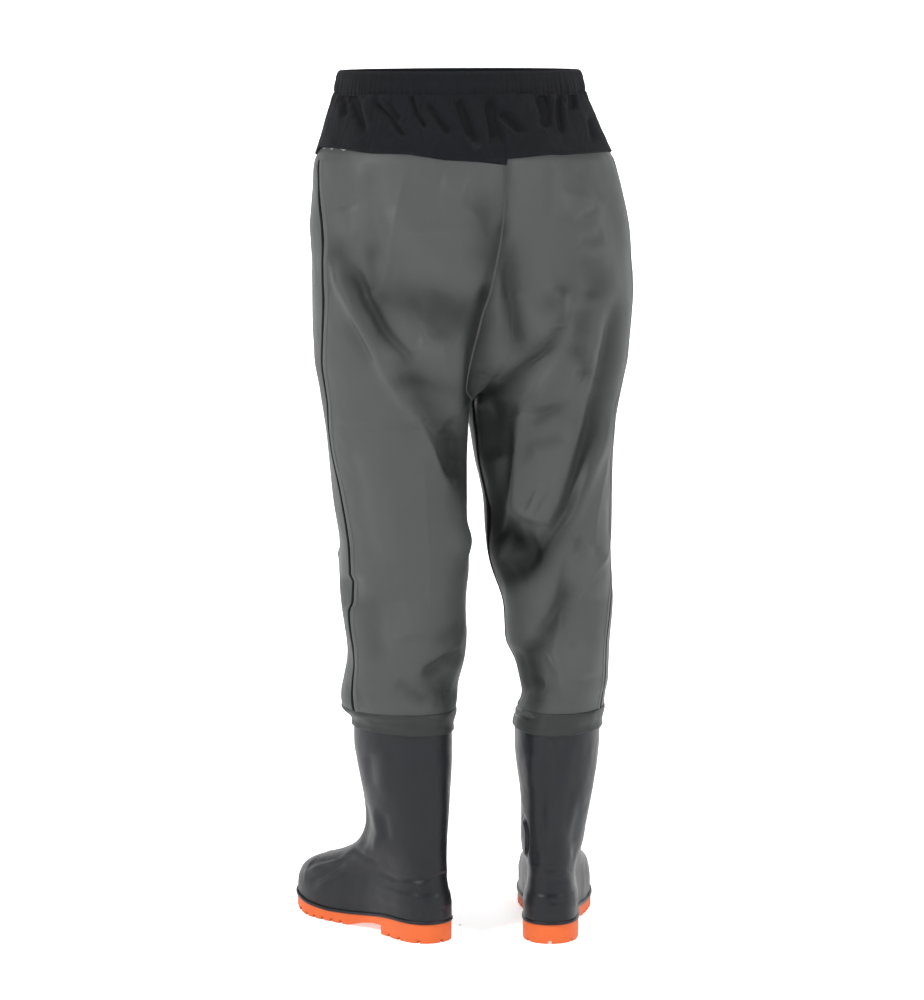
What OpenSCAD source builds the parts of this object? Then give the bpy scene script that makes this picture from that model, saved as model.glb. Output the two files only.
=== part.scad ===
// Waist-high waders: gathered cloth yoke, coated-fabric legs in panels, moulded boots with a heeled outsole.
// Millimetres. +Z up, the front of the garment faces -Y, the wearer's left is +X. The soles stand on Z = 0.

/* [Overall] */
// Height of the top of the waistband above the floor
waist_top = 1150; // [1146:1:1156]
// Height of the seam between the yoke and the legs
yoke_seam = 1042; // [1036:1:1046]
// Thickness of the coated leg fabric with its backing
fabric_t = 2; // [1.6:0.1:2.4]
// Thickness of the yoke cloth
yoke_t = 1.6; // [1.2:0.1:2]

/* [Waistband] */
// Height of the folded casing at the top of the yoke
casing_h = 30; // [26:1:34]
// Thickness of the elastic inside the casing
elastic_t = 2; // [1.5:0.1:2.2]
// Height of the elastic
elastic_h = 24; // [18:1:24]

/* [Seams] */
// Half width of the outseam and inseam tapes
tape_half = 8; // [6:1:10]
// Thickness of the seam tapes
tape_t = 0.9; // [0.6:0.1:1.2]
// Depth of the welded fin along the centre seam
fin_depth = 9; // [6:1:10]
// Thickness of that fin
fin_t = 1.5; // [1.2:0.1:1.6]

/* [Joints] */
// Height of the hip hinge axis
hip_z = 860; // [855:1:865]
// Height of the knee hinge axis
knee_z = 480; // [476:1:484]
// How far the knee axis lies behind the leg's middle
knee_back = 15; // [12:1:18]
// Height of the fold axis above each boot
boot_fold_z = 335; // [334:1:337]
// Half height of the soft hem between the calf and the boot
hem_half = 31; // [30:1:32]

/* [Boots] */
// Height of the top edge of the moulded boot
boot_top = 298; // [294:1:300]
// Wall thickness of the moulded boot
boot_t = 2.6; // [2.2:0.1:3]
// Thickness of the knitted boot lining
lining_t = 1.2; // [1:0.1:1.4]
// Thickness of the loose insole
insole_t = 5; // [4:0.5:6]
// Depth of the tread grooves
tread_depth = 4; // [3:0.5:5]
// Width of one tread groove
tread_w = 5; // [4:0.5:6]
// Bottom edge of the welded cuff over the boot top
cuff_bottom = 280; // [278:1:288]

/* [Hidden] */

cloth_colour = [0.17, 0.18, 0.20];
green = [0.36, 0.38, 0.37];
tape_colour = [0.25, 0.27, 0.26];
boot_colour = [0.22, 0.23, 0.25];
orange = [0.94, 0.47, 0.28];
grey = [0.55, 0.56, 0.57];

// The whole garment is shifted so that the middle of its outline lies over the origin.
shift = [2.3, 47, 0];

// Rows: height, middle of the section (outward, backward), half width, half depth, turn of the section outward.
// Above the crotch both halves share these rows.
TRUNK = [
  [705, 99.5, 2, 99, 103, 0], [719, 93.5, 2.7, 107, 109, 0], [745, 80.5, 4, 124.5, 121, 0], [771, 66, 5, 144, 131, 0],
  [798, 50, 6, 162, 138, 0], [824, 34, 6, 180, 144, 0], [850, 20, 6, 196, 148, 0], [877, 8, 5, 209, 150, 0],
  [903, 0, 4, 216, 150, 0], [955, 0, 2, 214, 148, 0], [1007, 0, 0, 207, 142, 0], [1043, 0, 0, 199, 135, 0],
  [1075, 0, 0, 187, 127, 0], [1095, 0, 0, 180, 122, 0], [1116, 0, 0, 172, 117, 0], [1131, 0, 0, 165, 113, 0],
  [1150, 0, 0, 162, 111, 0], [1160, 0, 0, 162, 111, 0]];
LEFT_LEG = [
  [250, 79.8, -46.3, 59.8, 80, 18], [290, 79.8, -46.3, 59.8, 80, 18], [299, 80, -46.3, 60.2, 80.5, 18],
  [306, 82.5, -46.5, 64.5, 85, 17.5], [325, 86, -43, 71, 88.5, 17], [345, 85, -38, 72, 88, 15], [372, 81, -32, 74, 88, 13],
  [399, 81, -29, 76, 88, 12], [452, 86, -24, 80, 90, 10], [506, 87, -20, 84, 92, 8], [540, 88, -18, 85, 92, 6],
  [586, 94.5, -15, 85.5, 94, 4], [640, 98, -12, 90, 96, 2], [692, 99.5, -2.5, 96, 101, 0]];
RIGHT_LEG = [
  [250, 116.7, 18.7, 59.8, 80, 23.4], [290, 116.7, 18.7, 59.8, 80, 23.4], [299, 116.9, 18.9, 59.8, 80, 23.4],
  [306, 119.5, 21, 58, 80, 23], [325, 122, 27, 55.5, 78, 22], [345, 121, 31, 58, 80, 20], [372, 118, 31, 62, 84, 18],
  [399, 113, 28, 69, 87, 16], [452, 113, 24, 74, 90, 14], [506, 105, 19, 82, 92, 11], [540, 104, 18, 84, 93, 9],
  [586, 103, 16, 85, 96, 6], [640, 98.5, 11.5, 90.5, 97, 3], [692, 99.5, 4.2, 96, 101, 0]];
LT = concat(LEFT_LEG, TRUNK);
RT = concat(RIGHT_LEG, TRUNK);
// Sideways and backward lean of the middle line above the hips
LEAN = [[690, 0, 0], [903, 0, 0], [955, 2, 0], [1007, 5, -1], [1043, 8, -3], [1095, 12, -4], [1150, 14, -5], [1160, 14, -5]];

crotch_z = 705;
gap = fin_t / 2 + 0.5;

// Smooth table lookup: a cubic through the rows with slopes from their neighbours.
function seg(T, z, i = 0) = (i >= len(T) - 2 || z < T[i + 1][0]) ? i : seg(T, z, i + 1);
function slope(T, i) = i == 0 ? (T[1] - T[0]) / (T[1][0] - T[0][0]) :
  i == len(T) - 1 ? (T[i] - T[i - 1]) / (T[i][0] - T[i - 1][0]) : (T[i + 1] - T[i - 1]) / (T[i + 1][0] - T[i - 1][0]);
function row(T, z) = let (i = seg(T, z), h = T[i + 1][0] - T[i][0], t = min(1, max(0, (z - T[i][0]) / h)))
  T[i] * (2 * t * t * t - 3 * t * t + 1) + slope(T, i) * h * (t * t * t - 2 * t * t + t)
  + T[i + 1] * (-2 * t * t * t + 3 * t * t) + slope(T, i + 1) * h * (t * t * t - t * t);

// Angle at which the section meets the middle plane, or 180 where it is a closed tube.
function clip(T, z, off) = let (r = row(T, z), a = r[3] - off, c = r[1] - gap) c >= a ? 180 : acos(-c / a);
// A point of the garment's wall: side 1 is left and -1 right, f runs from the outseam (0) to the middle or inseam (1 at the back, -1 in front).
function wall(s, z, f, off) = let (T = s > 0 ? LT : RT, r = row(T, z), l = row(LEAN, z), th = f * clip(T, z, off),
    u = (r[3] - off) * cos(th), v = (r[4] - off) * sin(th))
  [l[1] * s + r[1] + u * cos(r[5]) - v * sin(r[5]), l[2] + r[2] + u * sin(r[5]) + v * cos(r[5]), z];

// A grid of outer points and one of inner points become one closed sheet.
module sheet(outer, inner) {
  m = len(outer); n = len(outer[0]); N = m * n;
  pts = concat([for (q = outer) each q], [for (q = inner) each q]);
  faces = concat(
    [for (j = [0:m - 2], i = [0:n - 2]) each let (p = j * n + i) [[p, p + 1, p + n + 1], [p, p + n + 1, p + n]]],
    [for (j = [0:m - 2], i = [0:n - 2]) each let (p = N + j * n + i) [[p, p + n + 1, p + 1], [p, p + n, p + n + 1]]],
    [for (i = [0:n - 2]) each [[i + 1, i, N + i], [i + 1, N + i, N + i + 1]]],
    [for (i = [0:n - 2]) each let (p = (m - 1) * n + i) [[p, p + 1, N + p + 1], [p, N + p + 1, N + p]]],
    [for (j = [0:m - 2]) each let (p = j * n) [[p, p + n, N + p + n], [p, N + p + n, N + p]]],
    [for (j = [0:m - 2]) each let (p = j * n + n - 1) [[p + n, p, N + p], [p + n, N + p, N + p + n]]]);
  polyhedron(pts, faces, convexity = 8);
}
function mixed(a, b, t) = a + (b - a) * t;
// A wall panel of side s between the fractions f0 and f1, from the lower rim lo[i] to the upper rim hi[i].
module panel(s, f0, f1, lo, hi, rows, off = 0, t = fabric_t)
  let (n = len(lo) - 1) panel_at(s, [for (i = [0:n]) mixed(f0, f1, i / n)], lo, hi, rows, off, t);
// The same, with its own fraction for every column
module panel_at(s, fs, lo, hi, rows, off = 0, t = fabric_t) {
  g = function (o) [for (j = [0:rows]) [for (i = [0:len(fs) - 1]) wall(s, mixed(lo[i], hi[i], j / rows), fs[i], o)]];
  if (s > 0) translate(shift) sheet(g(off), g(off + t));
  else translate(shift) mirror([1, 0, 0]) sheet(g(off), g(off + t));
}
// A band all round a closed section of side s, with an upright profile [offset inward, height].
module ring(profile, path) {
  m = len(profile); n = len(path(profile[0]));
  pts = [for (q = profile) each path(q)];
  faces = [for (j = [0:m - 1], i = [0:n - 1]) each let (k = (j + 1) % m, l = (i + 1) % n)
    [[j * n + i, j * n + l, k * n + l], [j * n + i, k * n + l, k * n + i]]];
  polyhedron(pts, faces, convexity = 6);
}
around = 36;
// Closed section of the trunk at a profile point, whole way round.
function trunk_path(q) = let (r = row(LT, q[1]), l = row(LEAN, q[1]))
  [for (i = [0:around - 1]) let (th = -360 * i / around) [l[1] + (r[3] - q[0]) * cos(th), l[2] + r[2] + (r[4] - q[0]) * sin(th), q[1]]];
// Closed section of one leg at a profile point.
function leg_path(s, q, n = 28) = let (r = row(s > 0 ? LT : RT, q[1]))
  [for (i = [0:n - 1]) let (th = -360 * i / n, u = (r[3] - q[0]) * cos(th), v = (r[4] - q[0]) * sin(th))
    [r[1] + u * cos(r[5]) - v * sin(r[5]), r[2] + u * sin(r[5]) + v * cos(r[5]), q[1]]];
module leg_ring(s, profile) {
  if (s > 0) translate(shift) ring(profile, function (q) leg_path(s, q));
  else translate(shift) mirror([1, 0, 0]) ring(profile, function (q) leg_path(s, q));
}

// ---- waistband and yoke ----
casing_bottom = waist_top - casing_h;
cavity = elastic_t + 0.6;
// The casing and the elastic in it follow one straight taper
function band_path(q) = let (t = (q[1] - casing_bottom) / casing_h, r = mixed(row(LT, casing_bottom), row(LT, waist_top), t), l = mixed(row(LEAN, casing_bottom), row(LEAN, waist_top), t))
  [for (i = [0:around - 1]) let (th = -360 * i / around) [l[1] + (r[3] - q[0]) * cos(th), l[2] + r[2] + (r[4] - q[0]) * sin(th), q[1]]];
module waist_casing() color(cloth_colour) translate(shift)
  ring([[0, casing_bottom], [0, waist_top - 1], [0.8, waist_top], [2 * yoke_t + cavity - 0.8, waist_top], [2 * yoke_t + cavity, waist_top - 1],
        [2 * yoke_t + cavity, casing_bottom], [yoke_t + cavity, casing_bottom], [yoke_t + cavity, waist_top - 2.2],
        [yoke_t, waist_top - 2.2], [yoke_t, casing_bottom]], function (q) band_path(q));
module waist_elastic() color(grey) translate(shift)
  let (z0 = waist_top - 2.8 - elastic_h, o = yoke_t + 0.3)
  ring([[o, z0], [o, z0 + elastic_h], [o + elastic_t, z0 + elastic_h], [o + elastic_t, z0]], function (q) band_path(q));
// Half of the yoke, front (side -1) or back (side 1), between the side seams.
module yoke_half(back) color(cloth_colour) translate(shift) {
  n = around / 2; rows = 5; top = casing_bottom; bottom = yoke_seam;
  g = function (o) [for (j = [0:rows]) let (z = mixed(bottom, top, j / rows), r = row(LT, z), l = row(LEAN, z))
    [for (i = [0:n]) let (th = back > 0 ? 180 * i / n : -180 + 180 * i / n) [l[1] + (r[3] - o) * cos(th), l[2] + r[2] + (r[4] - o) * sin(th), z]]];
  sheet(g(0), g(yoke_t));
}
module yoke_front() yoke_half(-1);
module yoke_back() yoke_half(1);
// Narrow welts inside the yoke over its two side seams
module yoke_side_seams() color(cloth_colour) translate(shift) for (k = [0, 1]) {
  rows = 5;
  g = function (o) [for (j = [0:rows]) let (z = mixed(yoke_seam + 12, casing_bottom - 2, j / rows), r = row(LT, z), l = row(LEAN, z))
    [for (i = [-1:1]) let (th = 180 * k + 3 * i) [l[1] + (r[3] - o) * cos(th), l[2] + r[2] + (r[4] - o) * sin(th), z]]];
  sheet(g(yoke_t + 1), g(yoke_t + 2.2));
}
// Sealing tape inside the seam between yoke and legs
module waist_seam_tape() color(grey) translate(shift)
  ring([[fabric_t + 1.2, yoke_seam - 10], [fabric_t + 1.2, yoke_seam + 10], [fabric_t + 2, yoke_seam + 10], [fabric_t + 2, yoke_seam - 10]],
       function (q) trunk_path(q));

// Welded fin along the centre seam: down the back, under the crotch and up the front, inside the two halves.
fin_z = [yoke_seam - 12, 1000, 955, 903, 877, 850, 824, 798, 775, 757, 742, 730, 720, 713, 708];
function fin_y(z, side, d) = let (r = row(LT, z), l = row(LEAN, z)) l[2] + r[2] + side * max(0, (r[4] * sqrt(max(0, 1 - pow(r[1] / r[3], 2))) - d));
fin_path = concat([for (z = fin_z) [fin_y(z, 1, 0), z]], [[0, crotch_z]], [for (i = [len(fin_z) - 1:-1:0]) [fin_y(fin_z[i], -1, 0), fin_z[i]]]);
function unit2(v) = v / max(1e-6, norm(v));
fin_inner = [for (i = [0:len(fin_path) - 1]) let (a = fin_path[max(0, i - 1)], b = fin_path[min(len(fin_path) - 1, i + 1)], d = unit2(b - a))
  fin_path[i] + fin_depth * [d[1], -d[0]]];
module centre_seam() color(tape_colour) translate(shift) {
  lean = function (z) row(LEAN, z)[1];
  o = [for (p = fin_path) [lean(p[1]) - fin_t / 2, p[0], p[1]]];
  q = [for (p = fin_path) [lean(p[1]) + fin_t / 2, p[0], p[1]]];
  oi = [for (i = [0:len(fin_path) - 1]) [lean(fin_path[i][1]) - fin_t / 2, fin_inner[i][0], fin_inner[i][1]]];
  qi = [for (i = [0:len(fin_path) - 1]) [lean(fin_path[i][1]) + fin_t / 2, fin_inner[i][0], fin_inner[i][1]]];
  sheet([o, oi], [q, qi]);
}

// ---- rims between the panels, as functions of the fraction f from the outseam ----
N = 10;
F = [for (i = [0:N]) i / N];
hip_rim = function (f) 738 + 36 * cos(180 * f);
// The knee rims leave a wedge behind the knee axis, so that the calf can fold back by a right angle
function knee_y(s) = row(s > 0 ? LT : RT, knee_z)[2] + knee_back;
function knee_rim(s, f, dir) = knee_z + dir * (3 + 1.1 * max(0, wall(s, knee_z, f, 0)[1] - knee_y(s)));
// Front panels stop just short of the back panels, and back panels just short of the inseam
FF = [for (f = F) f - 1 - 0.0015 * f];
seat_low = 815;
front_low = 912;
calf_low = boot_fold_z + hem_half;
function flat(v) = [for (f = F) v];
function hips() = [for (f = F) hip_rim(f)];
// panels on the front run from the outseam (0) to the middle (-1)
edge = -0.0015;
module seat_back(s) color(green) panel(s, 0, 1 + edge, flat(seat_low), flat(yoke_seam), 8);
module front_top(s) color(green) panel(s, -1, edge, flat(front_low), flat(yoke_seam), 5);
module front_hip(s) color(green) panel(s, -1, edge, [for (f = F) hip_rim(1 - f)], flat(front_low), 9);
module back_hip(s) color(green) panel(s, 0, 1 + edge, hips(), flat(seat_low), 6);
module thigh_front(s) color(green) panel(s, -1, edge, [for (f = FF) knee_rim(s, f, 1)], [for (f = F) hip_rim(1 - f) - 3], 6);
module thigh_back(s) color(green) panel(s, 0, 1 + edge, [for (f = F) knee_rim(s, f, 1)], [for (f = F) hip_rim(f) - 3], 6);
// The knee pit shares the columns of the panels above and below it
PIT = [for (i = [0:N]) i == 0 ? 0.03 : i == N ? 0.97 : i / N];
module knee_pit(s) color(green) panel_at(s, [for (f = PIT) f * (1 + edge)], [for (f = PIT) knee_rim(s, f, -1) + 0.6], [for (f = PIT) knee_rim(s, f, 1) - 0.6], 5);
module calf_front(s) color(green) panel(s, -1, edge, flat(calf_low), [for (f = FF) knee_rim(s, f, -1)], 4);
module calf_back(s) color(green) panel(s, 0, 1 + edge, flat(calf_low), [for (f = F) knee_rim(s, f, -1)], 4);
// Tapes lie just outside the panels
module tape(s, f, z0, z1, rows = 5) color(tape_colour) {
  w = tape_half / 85 / 3.1416;
  lo = [z0, z0, z0]; hi = [z1, z1, z1];
  panel(s, f - w, f + w, lo, hi, rows, -2.1 - tape_t, tape_t);
}
module seam_pair() { tape(1, 0, front_low + 2, yoke_seam - 2, 4); tape(-1, 0, front_low + 2, yoke_seam - 2, 4); }

// ---- boots, in their own frame: heel centre at the origin, toe towards -Y, outer side +X ----
// Rows: height, back of the section, front of the section, width factor, share of the oval, oval half width, extra wall at the front
BOOT = [
  [24, 36, 251, 0.97, 0, 38, 3], [35, 38, 253, 0.98, 0, 38, 3], [48, 37.5, 251, 0.97, 0, 38, 3.4], [58, 36, 246, 0.94, 0, 38, 4],
  [66, 34, 238, 0.91, 0, 38, 5.5], [72, 33, 227, 0.88, 0.05, 38, 7.5], [78, 32, 210, 0.86, 0.1, 38, 10], [84, 31, 192, 0.85, 0.2, 38, 9.5],
  [92, 32.5, 169, 0.84, 0.38, 39, 8], [102, 32, 147, 0.84, 0.6, 40.5, 6], [114, 31.5, 128, 0.85, 0.8, 42, 5], [128, 31.5, 115, 0.86, 0.93, 42.5, 4],
  [146, 32, 108.5, 0.9, 1, 43, 3], [170, 32.5, 108, 0.9, 1, 45.5, 2.6], [200, 32.5, 111.5, 0.9, 1, 49.5, 2.6], [230, 32, 117, 0.9, 1, 54, 2.6],
  [258, 31, 123, 0.9, 1, 56.5, 2.6], [305, 31, 123, 0.9, 1, 57, 2.6]];
// Fullness of the sole outline from heel (0) to toe (1): outer side and inner side
FULL = [[0, 73, 73], [0.08, 61, 61], [0.13, 54, 54], [0.25, 42.5, 41], [0.4, 36, 31], [0.5, 39, 30], [0.6, 47, 37], [0.7, 56, 48], [0.8, 65, 61], [0.9, 73, 75], [1, 80, 86]];
// Top and bottom of the outsole along its length (0 at the heel centre, forward positive)
TOP = [[-40, 27], [20, 27], [45, 25.5], [80, 20.5], [110, 17], [150, 15.5], [190, 18], [220, 22.5], [240, 26], [255, 29]];
BOTTOM = [[48, 12], [66, 11.5], [90, 7], [116, 0], [190, 0], [212, 3], [232, 8], [255, 16]];
BN = 16;
function boot_point(z, i, t, lift = 0) = let (r = row(BOOT, z), side = i <= BN ? 1 : -1, k = i <= BN ? i : 2 * BN - i, ph = 180 * k / BN,
    sb = r[1] - t, sf = r[2] - (t <= 0 ? t : t * r[6] / boot_t), hs = (sb + sf) / 2, q = (1 - cos(ph)) / 2,
    w = row(FULL, q), fw = (side > 0 ? w[1] : w[2]) * r[3] * (1 - r[4]) + r[5] * r[4] - t, y = sb - 2 * hs * q)
  [side * fw * sin(ph), y, z + lift];
// The right boot's shaft leans outward
SHAFT_LEAN = [[84, 0], [114, 0.4], [146, 3], [175, 6.4], [200, 8], [310, 8]];
function boot_row(s, z, t) = let (d = s > 0 ? 0 : lookup(z, SHAFT_LEAN)) [for (i = [0:2 * BN - 1]) boot_point(z, i, t) + [d, 0, 0]];
function top_at(y) = lookup(-y, TOP);
// The lowest row follows the top of the outsole
function boot_foot(t, lift) = [for (p = boot_row(1, 30, t)) [p[0], p[1], top_at(p[1]) + lift]];
// Closes rows of points into a skin: every row is a closed loop, the first and last rows are capped strip by strip.
module boot_skin(rows) {
  m = len(rows); n = 2 * BN;
  side = [for (j = [0:m - 2], i = [0:n - 1]) each let (l = (i + 1) % n) [[j * n + i, (j + 1) * n + i, (j + 1) * n + l], [j * n + i, (j + 1) * n + l, j * n + l]]];
  cap = function (base, up) concat(
    up ? [[base, base + 1, base + n - 1]] : [[base, base + n - 1, base + 1]],
    [for (i = [1:BN - 2]) each let (a = base + i, b = base + i + 1, c = base + n - i - 1, d = base + n - i)
      up ? [[a, b, c], [a, c, d]] : [[a, c, b], [a, d, c]]],
    up ? [[base + BN - 1, base + BN, base + BN + 1]] : [[base + BN - 1, base + BN + 1, base + BN]]);
  polyhedron([for (r = rows) each r], concat(side, cap(0, true), cap((m - 1) * n, false)), convexity = 10);
}
up_z = [40, 50, 58, 66, 72, 78, 84, 92, 102, 114, 128, 146, 170, 200, 230, 258];
function up_rows(s, t, top) = concat([for (z = up_z) boot_row(s, z, t)], [boot_row(s, top, t)]);
function down_rows(s, t, top) = concat([boot_row(s, top, t)], [for (j = [len(up_z) - 1:-1:0]) boot_row(s, up_z[j], t)]);
floor_lift = 3;
// The upper is one wall with a closed bottom, open at the top
module boot_upper(s) color(boot_colour)
  boot_skin(concat([boot_foot(0, 0.6)], up_rows(s, 0, boot_top), down_rows(s, boot_t, boot_top), [boot_foot(boot_t, floor_lift)]));
module boot_lining(s) color(grey) let (a = boot_t + 1, b = a + lining_t, h = floor_lift + 0.7)
  boot_skin(concat([boot_foot(a, h)], up_rows(s, a, boot_top - 3), down_rows(s, b, boot_top - 3), [boot_foot(b, h + lining_t)]));
// Loose insole, resting on the lining
module insole() color(grey)
  let (t = boot_t + lining_t + 2.8, z0 = floor_lift + lining_t + 1.1, r = [for (i = [0:2 * BN - 1]) boot_point(40, i, t)])
  boot_skin([[for (p = r) [p[0] * 0.985, p[1], top_at(p[1]) + z0]], [for (p = r) [p[0] * 0.985, p[1], top_at(p[1]) + z0 + insole_t]]]);
// Outline of the sole, drawn from the same fullness table
function sole_outline(grow) = [for (k = [0:63]) let (side = k <= 32 ? 1 : -1, j = k <= 32 ? k : 64 - k, ph = 180 * j / 32, q = (1 - cos(ph)) / 2, w = row(FULL, q),
    fw = (side > 0 ? w[1] : w[2]) + grow) [side * fw * sin(ph), 37 + grow - (290 + 2 * grow) * q]];
module outsole() color(orange) difference() {
  intersection() {
    linear_extrude(height = 40) polygon(sole_outline(0));
    rotate([90, 0, 90]) translate([0, 0, -80]) linear_extrude(height = 160)
      polygon(concat([[45, 0], [-48, 0]], [for (p = BOTTOM) [-p[0], p[1]]], [for (j = [len(TOP) - 1:-1:0]) [-TOP[j][0], TOP[j][1]]], [[45, 27]]));
  }
  // grooves across the heel, from both sides, leaving its middle whole
  for (y = [22, -8, -30], x = [-1, 1]) translate([x * 36, y, 0]) cube([26, tread_w, 2 * tread_depth], center = true);
  // grooves across the forefoot
  for (y = [-128, -144, -160, -176, -192], x = [-1, 1]) translate([x * 46, y, 0]) cube([48, tread_w, 2 * tread_depth], center = true);
  for (y = [-210, -224]) translate([0, y, 3]) cube([120, tread_w, 2 * tread_depth + 2], center = true);
  // lengthwise grooves between the lugs
  translate([0, -160, 0]) cube([6, 76, 2 * tread_depth], center = true);
  translate([0, 21, 0]) cube([tread_w, 36, 2 * tread_depth], center = true);
}
// Thin moulded strip that covers the joint of upper and outsole
FOX = concat([37.2], [for (k = [1:63]) 0]);
module foxing() color(boot_colour) {
  n = 64;
  o = sole_outline(1.8); b = sole_outline(0.4);
  loop = function (P, dz) [for (p = P) [p[0], p[1], top_at(p[1]) + dz]];
  rows = [loop(b, -1.5), loop(o, -1.5), loop(o, 2.2), loop(b, 3.2)];
  faces = [for (j = [0:3], i = [0:n - 1]) each let (k = (j + 1) % 4, l = (i + 1) % n) [[j * n + i, k * n + l, j * n + l], [j * n + i, k * n + i, k * n + l]]];
  polyhedron([for (r = rows) each r], faces, convexity = 6);
}
module at_boot(s) {
  if (s > 0) translate(shift) translate([65.6, -2.6, 0]) rotate(18) children();
  else translate(shift) translate([-91.1, 57.7, 0]) rotate(-23.4) mirror([1, 0, 0]) children();
}
// Soft end of the leg between the calf and the cuff, and the cuff welded over the boot top
module hem(s) color(green) leg_ring(s, let (z0 = boot_fold_z - hem_half + 0.3, z1 = calf_low - 0.3) [[0, z0], [0, z0 + 15], [0, z0 + 30], [0, z0 + 45], [0, z1], [fabric_t, z1], [fabric_t, z0 + 45], [fabric_t, z0 + 30], [fabric_t, z0 + 15], [fabric_t, z0]]);
module cuff(s) color(green) leg_ring(s, [[0, cuff_bottom], [0, 299], [0, boot_fold_z - hem_half], [fabric_t, boot_fold_z - hem_half], [fabric_t, 299], [fabric_t, cuff_bottom]]);

waist_casing();
waist_elastic();
yoke_front();
yoke_back();
yoke_side_seams();
waist_seam_tape();
centre_seam();
seat_back(1);  // left_seat_back
seat_back(-1);  // right_seat_back
front_top(1);  // left_front_top
front_top(-1);  // right_front_top
front_hip(1);  // left_front_hip
back_hip(1);  // left_back_hip
front_hip(-1);  // right_front_hip
back_hip(-1);  // right_back_hip
seam_pair();  // hip_outseams
thigh_front(1);  // left_thigh_front
thigh_back(1);  // left_thigh_back
tape(1, 0, knee_z + 14, 768, 8);  // left_thigh_outseam
tape(1, 1, knee_z + 14, 668, 7);  // left_thigh_inseam
thigh_front(-1);  // right_thigh_front
thigh_back(-1);  // right_thigh_back
tape(-1, 0, knee_z + 14, 768, 8);  // right_thigh_outseam
tape(-1, 1, knee_z + 14, 668, 7);  // right_thigh_inseam
knee_pit(1);  // left_knee_pit
calf_front(1);  // left_calf_front
calf_back(1);  // left_calf_back
tape(1, 0, calf_low + 2, knee_z - 14, 4);  // left_calf_outseam
tape(1, 1, calf_low + 2, knee_z - 14, 4);  // left_calf_inseam
knee_pit(-1);  // right_knee_pit
calf_front(-1);  // right_calf_front
calf_back(-1);  // right_calf_back
tape(-1, 0, calf_low + 2, knee_z - 14, 4);  // right_calf_outseam
tape(-1, 1, calf_low + 2, knee_z - 14, 4);  // right_calf_inseam
hem(1);  // left_hem
cuff(1);  // left_cuff
at_boot(1) boot_upper(1);  // left_boot_upper
at_boot(1) boot_lining(1);  // left_boot_lining
at_boot(1) insole();  // left_insole
at_boot(1) outsole();  // left_outsole
at_boot(1) foxing();  // left_foxing
hem(-1);  // right_hem
cuff(-1);  // right_cuff
at_boot(-1) boot_upper(-1);  // right_boot_upper
at_boot(-1) boot_lining(-1);  // right_boot_lining
at_boot(-1) insole();  // right_insole
at_boot(-1) outsole();  // right_outsole
at_boot(-1) foxing();  // right_foxing
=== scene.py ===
import math

import bmesh
import bpy
import numpy as np
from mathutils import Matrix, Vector

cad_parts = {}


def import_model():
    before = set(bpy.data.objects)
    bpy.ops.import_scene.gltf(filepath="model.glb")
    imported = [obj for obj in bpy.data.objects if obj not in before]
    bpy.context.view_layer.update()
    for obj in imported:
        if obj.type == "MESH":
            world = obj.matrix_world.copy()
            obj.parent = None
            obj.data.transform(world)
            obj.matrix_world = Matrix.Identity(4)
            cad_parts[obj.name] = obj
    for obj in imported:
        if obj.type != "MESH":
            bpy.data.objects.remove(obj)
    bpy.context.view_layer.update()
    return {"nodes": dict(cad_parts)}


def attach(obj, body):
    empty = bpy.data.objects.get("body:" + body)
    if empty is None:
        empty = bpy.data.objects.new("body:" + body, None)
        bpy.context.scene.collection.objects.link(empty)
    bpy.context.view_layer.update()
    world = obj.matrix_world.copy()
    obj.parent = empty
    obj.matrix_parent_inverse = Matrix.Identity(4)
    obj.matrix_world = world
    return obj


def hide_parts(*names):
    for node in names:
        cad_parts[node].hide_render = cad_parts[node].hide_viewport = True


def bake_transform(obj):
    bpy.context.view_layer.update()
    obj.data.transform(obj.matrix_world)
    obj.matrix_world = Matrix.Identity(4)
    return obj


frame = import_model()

nodes = frame["nodes"]

# ------------------------------------------------------------------ garment tables (mm), as in the CAD source, a little fuller just under the seat
SHIFT = np.array([2.3, 47.0, 0.0])
TRUNK = [
    [705, 99.5, 2, 99, 105.5, 0], [719, 93.5, 2.6, 107, 110.5, 0], [745, 80.5, 4, 124.5, 121, 0], [771, 66, 5, 144, 131, 0],
    [798, 50, 6, 162, 138, 0], [824, 34, 6, 180, 144, 0], [850, 20, 6, 196, 148, 0], [877, 8, 5, 209, 150, 0],
    [903, 0, 4, 216, 150, 0], [955, 0, 2, 214, 148, 0], [1007, 0, 0, 207, 142, 0], [1043, 0, 0, 199, 135, 0],
    [1075, 0, 0, 187, 127, 0], [1095, 0, 0, 180, 122, 0], [1116, 0, 0, 172, 117, 0], [1131, 0, 0, 165, 113, 0],
    [1150, 0, 0, 162, 111, 0], [1160, 0, 0, 162, 111, 0]]
LEFT_LEG = [
    [250, 79.8, -46.3, 59.8, 80, 18], [290, 79.8, -46.3, 59.8, 80, 18], [299, 80, -46.3, 60.2, 80.5, 18],
    [306, 82.5, -46.5, 64.5, 85, 17.5], [325, 86, -43, 71, 88.5, 17], [345, 85, -38, 72, 88, 15], [372, 81, -32, 74, 88, 13],
    [399, 81, -29, 76, 88, 12], [452, 86, -24, 80, 90, 10], [506, 87, -20, 84, 92, 8], [540, 88, -18, 85, 92, 6],
    [586, 94.5, -15, 85.5, 94, 4], [640, 98, -12, 90, 96, 2], [692, 99.5, -2.5, 96, 102.5, 0]]
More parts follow.
